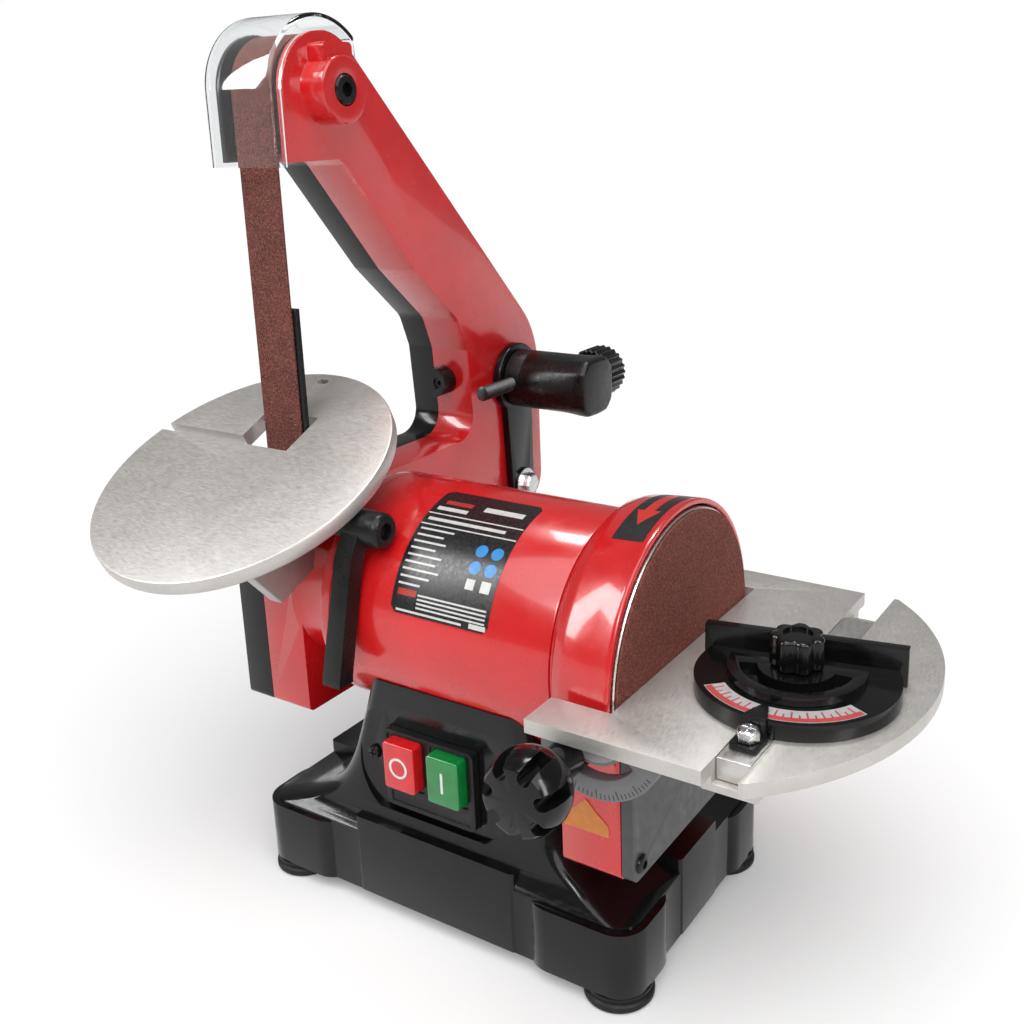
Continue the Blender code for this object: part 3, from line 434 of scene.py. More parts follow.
def rod(axis, centre, radius, low, high, sides=40):
    return turned([(low, 0.0), (low, radius), (high, radius), (high, 0.0)], axis, centre, sides)


def tube(axis, centre, inner, outer, low, high):
    return turned([(low, inner), (low, outer), (high, outer), (high, inner)], axis, centre)


def lobed(axis, centre, radius, depth, lobes, low, high, edge, steps=14, power=1.0):
    """A knob with round finger lobes, its edges rounded over by this much."""
    levels = []
    for k in range(5):
        levels.append((low + edge * (1 - cos(k * pi / 8)), edge * (1 - sin(k * pi / 8))))
    for k in range(5):
        levels.append((high - edge * (1 - sin(k * pi / 8)), edge * (1 - cos(k * pi / 8))))
    sections = []
    for w, shrink in levels:
        ring = []
        for i in range(lobes * steps):
            angle = 2 * pi * i / (lobes * steps)
            valley = (0.5 - 0.5 * cos(lobes * angle)) ** power
            reach = radius - shrink - depth * valley
            ring.append(place(axis, centre[0] + reach * cos(angle), centre[1] + reach * sin(angle), w))
        sections.append(ring)
    return loft(sections)


def offsets(start, *rows):
    """Profile points (start + step, radius) from (step, radius) rows."""
    return [(start + step, radius) for step, radius in rows]


def cross(axis, at, reach, half, low, high):
    """Cuts for a cross-head recess between two heights."""
    u, v = at
    bars = [rectangle(u - a, u + a, v - b, v + b, 0) for a, b in ((reach, half), (half, reach))]
    return [cut(prism(bar, axis, low, high)) for bar in bars]


def turn(bm, angle, axis, about):
    """Turn a mesh about an axis through a point."""
    about = Vector(about)
    bm.transform(Matrix.Translation(about) @ Matrix.Rotation(angle, 4, axis) @ Matrix.Translation(-about))
    return bm


# ---- pieces
def cut(tool):
    """A step that takes a solid away from a piece."""
    return "cut", tool


def weld(tool):
    """A step that adds a solid to a piece."""
    return "weld", tool


def linked(name, bm):
    """A new object from a mesh in millimetres."""
    bm.transform(Matrix.Scale(MM, 4) @ Matrix.Translation(AXIS))
    mesh = bpy.data.meshes.new(name)
    bm.to_mesh(mesh)
    bm.free()
    obj = bpy.data.objects.new(name, mesh)
    bpy.context.scene.collection.objects.link(obj)
    return obj


def bake(obj):
    """Replaces an object's mesh with what its modifiers make."""
    graph = bpy.context.evaluated_depsgraph_get()
    mesh = bpy.data.meshes.new_from_object(obj.evaluated_get(graph))
    obj.modifiers.clear()
    obj.data = mesh


def piece(name, bm, material, nodes=(), steps=(), edge=0.0, body="machine", segments=3, smooth=35):
    """A finished piece: the solid, then weld and cut steps, then rounded edges."""
    obj = linked(name, bm)
    tools = []
    for kind, tool in steps:
        helper = linked(f"tool_{len(tools)}", tool)
        tools.append(helper)
        modifier = obj.modifiers.new(kind, "BOOLEAN")
        modifier.operation = "UNION" if kind == "weld" else "DIFFERENCE"
        modifier.object = helper
    if tools:
        bake(obj)
        for helper in tools:
            bpy.data.objects.remove(helper)
    if edge:
        seams = obj.modifiers.new("seams", "WELD")
        seams.merge_threshold = 0.01 * MM
        bevel = obj.modifiers.new("edge", "BEVEL")
        bevel.width = edge * MM
        bevel.segments = segments
        bevel.limit_method = "ANGLE"
        bevel.angle_limit = radians(smooth)
        bevel.miter_outer = "MITER_ARC"
        bake(obj)
    obj.data.shade_smooth()
    obj.data.set_sharp_from_angle(angle=radians(smooth))
    obj.data.materials.clear()
    obj.data.materials.append(material)
    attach(obj, body)
    if nodes:
        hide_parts(*nodes)
    return obj


def screw_head(node, axis, rows, end, material, recess=None, sides=40):
    """A screw on its CAD node: (depth, radius) rows from the head's front, then a shank to its end."""
    at = seen(node, axis)
    front = span(node)[0]["XYZ".index(axis)]
    profile = offsets(front, *rows) + [(end, rows[-1][1]), (end, 0.0)]
    steps = ()
    if recess:
        reach, half, depth = recess
        steps = cross(axis, at, reach, half, front - 1, front + depth)
    piece(node + "_head", turned(profile, axis, at, sides), material, (node,), steps)


def repaint(material, *nodes):
    """Gives carried-over CAD nodes a finished material."""
    for node in nodes:
        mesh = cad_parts[node].data
        mesh.materials.clear()
        mesh.materials.append(material)


# ---- base
def base_ring(x0, x1, y0, y1, radius, z):
    return [(u, v, z) for u, v in rectangle(x0, x1, y0, y1, radius, 10)]


def flared(levels):
    """Rings through (x0, x1, y0, y1, radius, z) levels, with smooth in-between rings."""
    fill = 6
    rings = []
    for i in range(len(levels) - 1):
        before = levels[max(i - 1, 0)]
        here, after = levels[i], levels[i + 1]
        beyond = levels[min(i + 2, len(levels) - 1)]
        for k in range(fill):
            t = k / fill
            values = []
            for a, b, c, d in zip(before, here, after, beyond):
                square, cube = 2 * a - 5 * b + 4 * c - d, 3 * b - a - 3 * c + d
                bend = 2 * b + (c - a) * t + square * t * t + cube * t ** 3
                values.append(bend / 2)
            rings.append(base_ring(*values))
    rings.append(base_ring(*levels[-1]))
    return rings


def base_housing():
    """Stepped skirt with four proud corner blocks, and a flared pedestal that cradles the barrel."""
    x0, x1, y0, y1 = BASE_LOW.x, BASE_HIGH.x, BASE_LOW.y, BASE_HIGH.y
    left, right, front, rear = x0 + PANEL_STEP, x1 - PANEL_STEP, y0 + PANEL_STEP, y1 - PANEL_STEP
    bottom = BASE_LOW.z
    skirt = [base_ring(left, right, front, rear, 12, z) for z in (bottom + 0.1, BASE_TOP + 1.5)]
    pedestal = flared([
        (left + 8, right - 8, front + 2, rear - 5, 12, -104.5), (-188, -18, -54.5, 64, 12, -99.5),
        (-172, -33, -52.5, 55, 11, -90), (-162, -42, -PEDESTAL_FRONT, PEDESTAL_FRONT, 10, -76),
        (-152, -49, -PEDESTAL_FRONT, PEDESTAL_FRONT, 9, -52),
        (-143, -54, -PEDESTAL_FRONT, PEDESTAL_FRONT, 8, -26)])
    cavity = [base_ring(left + 4, right - 4, front + 4, rear - 4, 9, z) for z in (bottom - 1, -112)]
    cavity += [base_ring(-160, -44, -46, 48, 8, -96), base_ring(-150, -53, -46, 46, 6, -76),
               base_ring(-146, -55, -46, 46, 6, -62)]
    steps = []
    wide, deep = 52.0, 42.0
    for low, high in ((x0, x0 + wide), (x1 - wide - 6, x1)):
        for near, far in ((y0, y0 + deep), (y1 - deep, y1)):
            steps.append(weld(prism(rectangle(low, high, near, far, 14, 10), "Z", bottom, BASE_TOP)))
    steps += [weld(prism(rectangle(-150, -57, front - 0.6, rear + 0.6, 2), "Z", bottom + 0.3, -98.5)),
              weld(prism(rectangle(left - 0.6, right + 0.6, -11, 27, 2), "Z", bottom + 0.4, -99.5)),
              cut(loft(cavity)), cut(rod("X", (0, 0), BARREL_R + GAP, -170, -34, 120))]
    oval = rounded([(-151, -96, 24), (-64, -96, 24), (-64, -38, 24), (-151, -38, 24)], 16)
    window = rectangle(SWITCH_LOW.x - GAP, SWITCH_HIGH.x + GAP, SWITCH_LOW.z - GAP, SWITCH_HIGH.z + GAP, 3)
    steps += [cut(prism(oval, "Y", -PEDESTAL_FRONT - 2, -PEDESTAL_FRONT + 1)),
              cut(prism(window, "Y", -PEDESTAL_FRONT - 5, -32))]
    for side in ("left", "right"):
        at = seen(f"switch_screw_{side}", "Y")
        steps.append(cut(rod("Y", at, 1.9, -PEDESTAL_FRONT - 4, -PEDESTAL_FRONT + 7, 20)))
    steps.append(cut(rod("Y", (-150, -122), 6 + GAP, 66, 90, 32)))
    piece("base_shell", loft(skirt + pedestal), gloss_black("base_black"), ("base_housing",), steps, 1.1)


def feet_and_fittings():
    """Stepped rubber feet, cable gland and the plate under the base."""
    black = rubber("foot_rubber")
    for node in ("foot_front_left", "foot_front_right", "foot_rear_left", "foot_rear_right"):
        low, high = span(node)
        r = (high.x - low.x) / 2
        profile = offsets(low.z, (0, 0.0), (0, r - 2.2), (0.4, r - 0.9), (1.3, r - 0.1), (3.0, r),
                          (4.0, r - 0.5), (4.5, r - 1.5), (5.6, r - 1.5), (6.1, r - 0.8), (6.8, r - 0.6))
        profile += [(high.z, r - 0.6), (high.z, 0.0)]
        piece(node + "_rubber", turned(profile, "Z", seen(node, "Z"), 72), black, (node,), smooth=45)
    low, high = span("cable_gland")
    at = seen("cable_gland", "Y")
    rear = high.y
    seat = rear - 11.1
    collar = offsets(seat, (-3.9, 0.0), (-3.9, 6.0), (0, 6.0), (0, 8.2), (0.5, 8.8), (4.0, 8.8), (4.5, 8.2),
                     (5.2, 7.4))
    for i in range(3):
        start, radius = seat + 5.6 + 1.7 * i, 7.3 - 0.4 * i
        collar += offsets(start, (0, radius), (0.2, radius - 0.7), (0.8, radius - 0.7), (1.0, radius - 0.2))
    collar += [(rear, 5.6), (rear, 4.0), (rear - 3.5, 4.0), (rear - 3.5, 0.0)]
    piece("cable_gland_collar", turned(collar, "Y", at, 48), satin_black("gland_black"), ("cable_gland",))
    repaint(grey_coat("bottom_plate_zinc", (0.20, 0.20, 0.205)), "bottom_plate")
    repaint(grey_coat("capacitor_case"), "run_capacitor")


def switch_unit():
    """Switch block with its flange, two caps with generic marks, and two fixing screws."""
    face = SWITCH_LOW.y
    block = prism(rectangle(SWITCH_LOW.x, SWITCH_HIGH.x, SWITCH_LOW.z, SWITCH_HIGH.z, 3), "Y", face,
                  SWITCH_HIGH.y)
    steps = []
    for name in ("stop_button", "start_button"):
        low, high = span(name)
        hole = rectangle(low.x - GAP, high.x + GAP, low.z - GAP, high.z + GAP, 1.8)
        steps.append(cut(prism(hole, "Y", face - 2, -38)))
        sill = rectangle(low.x - 1.9, high.x + 1.9, low.z - 1.9, high.z + 1.9, 2.4)
        steps.append(cut(prism(sill, "Y", face - 2, face + 0.7)))
    steps += [cut(box(SWITCH_LOW.x + 3, SWITCH_HIGH.x - 3, face - 1, face + 0.6, SWITCH_LOW.z + 2.2,
                      SWITCH_LOW.z + 8))]
    piece("switch_block", block, satin_black("switch_black", rough=0.34), ("switch_body",), steps, 0.5)
    white = print_ink("mark_white", (0.72, 0.72, 0.70))
    mark_r = 5.2
    for name, colour in (("stop_button", (0.62, 0.008, 0.012)), ("start_button", (0.0, 0.20, 0.035))):
        low, high = span(name)
        at = seen(name, "Y")
        cap = prism(rectangle(low.x, high.x, low.z, high.z, 1.6), "Y", low.y, high.y)
        piece(name + "_cap", cap, button_plastic(name + "_colour", colour), (name,), edge=0.9, body=name,
              segments=4)
        proud, sunk = low.y - 0.18, low.y + 0.25
        if name == "stop_button":
            mark = tube("Y", at, mark_r - 1.15, mark_r, proud, sunk)
        else:
            stroke = rectangle(at[0] - 0.65, at[0] + 0.65, at[1] - mark_r, at[1] + mark_r, 0.3)
            mark = prism(stroke, "Y", proud, sunk)
        piece(name + "_mark", mark, white, body=name)
    for side in ("left", "right"):
        node = f"switch_screw_{side}"
        rows = [(0, 0.0), (0.1, 1.5), (0.8, 2.9), (2.0, 3.4), (2.1, 1.6)]
        screw_head(node, "Y", rows, -44.0, satin_black(node + "_black", rough=0.3), (2.2, 0.35, 1.1), 36)


# ---- motor and its label
def motor():
    """Barrel with its seam lines, and the hidden motor parts repainted."""
    left, right = BARREL_LEFT, BARREL_RIGHT - GAP
    groove = left + 6.0
    outer = [(right, BARREL_R - 0.8), (right - 0.3, BARREL_R - 0.25), (right - 0.9, BARREL_R),
             (groove + 1.0, BARREL_R), (groove + 0.75, BARREL_R - 0.35), (groove + 0.25, BARREL_R - 0.35),
             (groove, BARREL_R), (left + 1.4, BARREL_R), (left + 0.4, BARREL_R - 0.4),
             (left, BARREL_R - 1.4)]
    inner = [(left, 11.3), (left + 9, 11.3), (left + 9, 38), (left + 14, 53), (right, 53)]
    piece("motor_barrel", turned(outer + inner, "X", sides=180), enamel("barrel_red"), ("motor_housing",))
    repaint(steel("lamination_steel", (0.35, 0.34, 0.33), 0.4), "motor_stator", "motor_rotor")
    repaint(steel("bearing_steel"), "bearing_left", "bearing_right", "motor_shaft")
    repaint(machined("end_plate_casting"), "motor_end_plate")


PRINT_LIFT, PRINT_THICK = 0.17, 0.05
FILM_STEP = 2.0               # degrees between the folds of a film on the barrel


def on_barrel(outline, lift, thick=0.12):
    """A thin film bent round the barrel; the outline is (x, degrees up from the front)."""
    bm = bmesh.new()
    low = [bm.verts.new((x, -(BARREL_R + lift) * cos(radians(a)), (BARREL_R + lift) * sin(radians(a))))
           for x, a in outline]
    bm.faces.new(low)
    width = max(a for _, a in outline) - min(a for _, a in outline)
    start = min(a for _, a in outline)
    cuts = int(width / FILM_STEP)
    for i in range(1, cuts):
        angle = radians(start + width * i / cuts)
        normal = (0, -sin(angle), -cos(angle))
        geometry = bm.verts[:] + bm.edges[:] + bm.faces[:]
        bmesh.ops.bisect_plane(bm, geom=geometry, plane_co=(0, 0, 0), plane_no=normal)
    for vert in bm.verts:
        flat = hypot(vert.co.y, vert.co.z)
        vert.co.y *= (BARREL_R + lift) / flat
        vert.co.z *= (BARREL_R + lift) / flat
    top = bmesh.ops.extrude_face_region(bm, geom=bm.faces[:])["geom"]
    for vert in (g for g in top if isinstance(g, bmesh.types.BMVert)):
        flat = hypot(vert.co.y, vert.co.z)
        vert.co.y *= (flat + thick) / flat
        vert.co.z *= (flat + thick) / flat
    return outward(bm)


def joined(meshes):
    """Several separate solids as one mesh."""
    whole = bmesh.new()
    for part in meshes:
        scratch = bpy.data.meshes.new("scratch")
        part.to_mesh(scratch)
        part.free()
        whole.from_mesh(scratch)
        bpy.data.meshes.remove(scratch)
    return whole


def motor_label():
    """Black data plate on the barrel with plain bars and blocks in place of its print."""
    left, right, low, high = -121.8, -68.2, 14.2, 84.0
    edge = [(left + 2.5, low), (right - 2.5, low), (right, low + 3), (right, high - 3), (right - 2.5, high),
            (left + 2.5, high), (left, high - 3), (left, low + 3)]
    piece("data_plate", on_barrel(edge, 0.04), print_ink("plate_black", (0.008, 0.008, 0.009), 0.28))

    def bar(x0, x1, level, half):
        return on_barrel(rectangle(x0, x1, level - half, level + half, 0), PRINT_LIFT, PRINT_THICK)

    lengths = (19, 15, 18, 14, 19, 17, 20, 16, 12)
    bars = [bar(left + 2, left + 2 + length, 55.6 - row * 3.45, 0.5) for row, length in enumerate(lengths)]
    bars += [bar(left + 0.4, right - 0.4, level, 0.35) for level in (65.3, 58.4)]
    bars += [bar(left + 2.5, right - 8, 61.8, 0.9), bar(left + 27, right - 5, 73.6, 1.7),
             bar(left + 3, left + 20, 69.2, 1.2)]
    bars += [bar(left + 14, right - 2, 24.0 - row * 1.9, 0.42) for row in range(4)]
    bars += [bar(left + 3, right - 14, 15.9, 0.5), bar(right - 10, right - 1.2, 16.3, 1.1),
             bar(right - 16, right - 11.5, 34.0, 2.4), bar(right - 8, right - 3, 34.0, 2.6)]
    piece("data_plate_print", joined(bars), print_ink("plate_print", (0.62, 0.62, 0.60)))
    dots = []
    for x in (right - 14.2, right - 5.8):
        for level in (50.0, 41.7):
            circle = [(x + 3.1 * cos(2 * pi * k / 20), level + 3.1 * sin(2 * pi * k / 20))
                      for k in range(20)]
            dots.append(on_barrel(circle, PRINT_LIFT, PRINT_THICK))
    piece("data_plate_dots", joined(dots), print_ink("plate_blue", (0.02, 0.25, 0.62)))
    red = [bar(left + 5, left + 20, 74.0, 1.4), bar(left + 2.6, left + 13, 24.2, 1.5)]
    piece("data_plate_red", joined(red), print_ink("plate_red", (0.42, 0.03, 0.02)))


# ---- disc side
def disc():
    """Abrasive sheet, the bevelled aluminium plate behind it, and the hub."""
    face = -BELT_THICK - 0.3
    plate = [(face, 0.0), (face, 62.9), (face - 0.5, 63.4), (face - 6.0, 63.4), (face - 6.5, 62.9),
             (face - 6.5, 54), (face - 4, 54), (face - 4, 14), (-26, 14), (-26, 6.3), (-9.3, 6.3),
             (-9.3, 0.0)]
    piece("disc_backing", turned(plate, "X", sides=160),
          machined("disc_backing_aluminium", "X", (0.66, 0.65, 0.63), 0.3,
                   1.0), ("disc_plate",), body="spindle")
    sheet = [(-BELT_THICK, 0.0), (-BELT_THICK, DISC_R), (-0.25, DISC_R), (0.0, DISC_R - 0.35), (0.0, 0.0)]
    piece("disc_sheet", turned(sheet, "X", sides=160), abrasive("disc_grit"), ("abrasive_disc",),
          body="spindle")


def disc_housing():
    """Casting round the disc: flared hood with a rolled lip, lower box, and two clamp bosses."""
    shell = [(BARREL_RIGHT, 12.5), (BARREL_RIGHT, BARREL_R - 0.5), (BARREL_RIGHT + 0.6, BARREL_R)]
    shell += [(BARREL_RIGHT + 0.6 + 6.0 * t / 8, BARREL_R + 7.0 * (0.5 - 0.5 * cos(pi * t / 8)))
              for t in range(1, 8)]
    shell += [(-29, 63.5), (-27, 64.6), (HOOD_FROM, HOOD_R), (-12, 66.2), (-4.4, 66.8), (-3.2, 67),
              (-2.3, 66.8), (-2, 66.3), (-2, 64.8), (-2.6, 64.2), (-2.6, 62.0), (-27, 62.0), (-27, 12.5)]
    lower = rounded([(-61, -18, 0), (-61, -80, 4), (61, -80, 4), (61, -18, 0)])
    steps = [weld(prism(lower, "X", -28.5, -0.2))]
    steps += [weld(rod("Y", LOCK_AT, 7.6, *span_y, 64)) for span_y in ((-77.7, -50), (50, 77.7))]
    steps.append(cut(rod("X", (0, 0), 64.4, -26.55, 3.0, 150)))
    cavity = rounded([(-58.3, -16, 0), (-58.3, -77, 3), (58.3, -77, 3), (58.3, -16, 0)])
    steps.append(cut(prism(cavity, "X", -26.4, 3.0)))
    steps += [cut(rod("Y", LOCK_AT, LOCK_BOLT_R + GAP, *span_y, 32))
              for span_y in ((-90, -65.6), (65.6, 90))]
    piece("disc_hood", turned(shell, "X", sides=168), enamel("hood_red"), ("disc_housing",), steps, 0.35,
          segments=2)


HOOD_FROM, HOOD_R = -24.5, 65.3
HOOD_TAPER = 1.5 / 20.1


def hood_film(outline, lift, thick=0.12):
    """A thin film on the hood's cone; the outline is (x, degrees from the top, positive to the rear)."""
    bm = bmesh.new()

    def at(x, a, extra):
        radius = HOOD_R + (x - HOOD_FROM) * HOOD_TAPER + lift + extra
        return (x, radius * sin(radians(a)), radius * cos(radians(a)))

    low = [bm.verts.new(at(x, a, 0)) for x, a in outline]
    high = [bm.verts.new(at(x, a, thick)) for x, a in outline]
    count = len(outline)
    half = count // 2
    for i in range(half - 1):
        j = count - 1 - i
        bm.faces.new((low[i], low[i + 1], low[j - 1], low[j]))
        bm.faces.new((high[i], high[i + 1], high[j - 1], high[j]))
    for i in range(count):
        j = (i + 1) % count
        bm.faces.new((low[i], low[j], high[j], high[i]))
    return outward(bm)


def band(x0, x1, start, end, steps=24):
    """Outline of a strip round the hood between two angles."""
    first = [(x0, start + (end - start) * i / steps) for i in range(steps + 1)]
    return first + [(x, a) for x, a in reversed([(x1, a) for _, a in first])]


def tapered(x, wide, start, end):
    """Outline of an arrow head that narrows to a point at the end angle."""
    steps = 8
    first, second = [], []
    for i in range(steps + 1):
        t = i / steps
        half = wide * (1 - t) + 0.05
        angle = start + (end - start) * t
        first.append((x - half, angle))
        second.append((x + half, angle))
    return first + second[::-1]


def direction_arrow():
    """Black film over the top of the hood with a plain curved arrow that shows which way the disc turns."""
    piece("arrow_film", hood_film(band(-20.3, -5.4, -27, 26, 40), 0.03),
          print_ink("film_black", (0.008, 0.008, 0.008)))
    marks = [hood_film(band(-15.4, -10.6, -8.6, 22), 0.16, 0.05),
             hood_film(tapered(-13.0, 5.6, -8.6, -18.5), 0.16, 0.05)]
    piece("arrow_mark", joined(marks), print_ink("arrow_red", (0.62, 0.02, 0.015)))


def disc_cover():
    """Dark plate over the lower half of the disc, with a folded edge line and its screw."""
    outline = rounded([(-61, -80, 5), (61, -80, 5), (61, -13, 3), (-61, -13, 3)], 10)
    low, high = span("disc_cover_plate")
    at = seen("cover_plate_screw", "X")
    steps = [cut(rod("X", (0, 0), 64.0, -3, 2.2, 160)), cut(rod("X", at, 2.7, -1.0, 9.0, 32))]
    piece("disc_cover_sheet", prism(outline, "X", low.x, high.x), grey_coat("cover_grey"),
          ("disc_cover_plate",), steps, 0.7)
    front = span("cover_plate_screw")[1].x
    head = [(-6.0, 0.0), (-6.0, 2.4), (5.8, 2.4), (5.8, 4.2), (front - 0.8, 4.0), (front - 0.1, 3.0),
            (front, 1.9), (front - 1.1, 1.9), (front - 1.1, 0.0)]
    piece("cover_plate_screw_head", turned(head, "X", at, 40), satin_black("cover_screw_black", rough=0.3),
          ("cover_plate_screw",))


def angle_pointer():
    """Amber pointer plate on the housing's front, below the tilt scale."""
    plate = [(-27.5, -60.5, 0.8), (-5.6, -60.5, 0.8), (-5.6, -55.5, 1.5), (-11.5, -50.5, 1.5),
             (-16.6, -45.4, 0.6), (-21.7, -50.5, 1.5), (-27.5, -55.5, 1.5)]
    amber = print_ink("pointer_amber", (0.62, 0.20, 0.03))
    piece("tilt_pointer", prism(rounded(plate, 6), "Y", -61.35, -61.02), amber)


def disc_table():
    """Half-round ground table with its mitre channel and notch, and the two tilt sectors, their metal
    darkened as painted shade, with a lighter film on the front hub as a painted highlight.
    """
    arc_x, arc_r = -12.0, 119.0
    end = degrees(asin(TABLE_HALF / arc_r))
    x, z = TILT_AXIS
    left, inner = span("disc_table")[0].x, 70.0
    outline = [(left, -TABLE_HALF), *arc((arc_x, 0), arc_r, -end, end, 96), (left, TABLE_HALF),
               (left, inner), (x, inner), (x, -inner), (left, -inner)]
    bottom = TABLE_TOP - 6
    undercut = [(x - 3, z - 0.5), (x - 3, z - 12), (x + 11.5, z - 12), (x, z - 0.5)]
    rail_low = span("disc_table")[0].z
    floor = rail_low + 3
    steps = [cut(prism(undercut, "Y", -inner - 0.01, inner + 0.01)),
             weld(box(SLOT_X - 11, SLOT_X + 11, -81.5, 81.5, rail_low, bottom + 1)),
             cut(box(SLOT_X - SLOT_HALF, SLOT_X + SLOT_HALF, -110, 110, floor, TABLE_TOP + 2))]
    piece("disc_table_casting", prism(outline, "Z", bottom, TABLE_TOP), machined("disc_table_ground", "Y"),
          ("disc_table",), steps, 0.5, body="disc_table")
    radius = hypot(LOCK_AT[0] - x, LOCK_AT[1] - z)
    half = LOCK_BOLT_R + 0.4
    edge = x - 24.0
    corner = 360.0 - degrees(acos((edge - x) / SECTOR_R))
    # Painted shade: the sectors' cast aluminium is given a dark grey colour that stands in for the shadow on
    # them.
    zinc = machined("sector_painted_shade_grey", "X", (0.17, 0.17, 0.175), 0.45, 0.4)
    for name, side in (("front", -1), ("rear", 1)):
        low, high = sorted((side * SECTOR_Y[0], side * SECTOR_Y[1]))
        slot = arc((x, z), radius + half, 222, 325, 40) + arc((x, z), radius - half, 325, 222, 40)
        shape = [(edge, bottom - GAP), *arc((x, z), SECTOR_R, corner, 347.8, 80)]
        piece(f"sector_{name}", prism(shape, "Y", low, high), zinc, (f"tilt_sector_{name}",),
              [cut(prism(slot, "Y", low - 2, high + 2))], 0.5, body="disc_table")
    ticks = []
    for i in range(25):
        angle = radians(232 + 4 * i)
        long = 3.6 if i % 5 == 0 else 2.0
        bar = box(x + SECTOR_R - 0.9 - long, x + SECTOR_R - 0.9, -SECTOR_Y[1] - 0.1, -SECTOR_Y[1] + 0.1,
                  z - 0.16, z + 0.16)
        ticks.append(turn(bar, -angle, "Y", (x, 0, z)))
    # Painted highlight: a thin lighter film on the front sector's hub stands in for light falling on the
    # hub.
    hub = [(x + 13.6 * cos(radians(a)), z + 13.6 * sin(radians(a))) for a in range(206, 335, 3)]
    piece("sector_hub_painted_highlight", prism(hub, "Y", -SECTOR_Y[1] - 0.14, -SECTOR_Y[1] - 0.02),
          machined("hub_painted_highlight_grey", "X", (0.42, 0.42, 0.42), 0.4, 0.6), body="disc_table")
    piece("tilt_scale", joined(ticks), print_ink("scale_black", (0.02, 0.02, 0.02)), body="disc_table")


def lock_knob():
    """Ball-shaped clamp knob with a flat face and open finger slots, its bolt, and the rear clamp nut."""
    outer, notches = SECTOR_Y[1], 7
    low = span("lock_knob")[0].y
    ball, centre = 17.0, low + 10.0
    start = degrees(acos((low - centre) / ball))
    profile = [(low, 0.0), (low, sqrt(ball ** 2 - (low - centre) ** 2) - 0.7)]
    profile += [(centre + ball * cos(radians(a)), ball * sin(radians(a))) for a in
                (start - 1.5 - (start - 41.5) * k / 24 for k in range(25))]
    profile += [(centre + 14.2, 8.4), (centre + 15.4, 7.5), (-outer - GAP, 7.5), (-outer - GAP, 0.0)]
    steps = [cut(rod("Y", LOCK_AT, LOCK_BOLT_R + GAP, -100, -70, 32))]
    for i in range(notches):
        notch = rectangle(LOCK_AT[0] + 9.4, LOCK_AT[0] + 24, LOCK_AT[1] - 2.7, LOCK_AT[1] + 2.7, 2.6, 12)
        cutter = turn(prism(notch, "Y", low - 1, low + 13.0), -2 * pi * (i + 0.3) / notches, "Y",
                      (LOCK_AT[0], 0, LOCK_AT[1]))
        steps.append(cut(cutter))
    piece("lock_knob_grip", turned(profile, "Y", LOCK_AT, 120), gloss_black("lock_knob_black"),
          ("lock_knob",), steps, 0.4, body="lock_knob")
    zinc = steel("clamp_zinc")
    piece("lock_bolt_shank", rod("Y", LOCK_AT, LOCK_BOLT_R, -99.5, -66.0), zinc, ("lock_bolt",),
          body="lock_knob")
    nut = [(66.0, 0.0), (66.0, LOCK_BOLT_R)]
    nut += offsets(outer, (GAP, LOCK_BOLT_R), (GAP, 7.4), (6.5, 7.4), (7.2, 6.4), (7.2, 0.0))
    piece("rear_clamp_head", turned(nut, "Y", LOCK_AT, 6), zinc, ("rear_clamp_bolt",), edge=0.4)


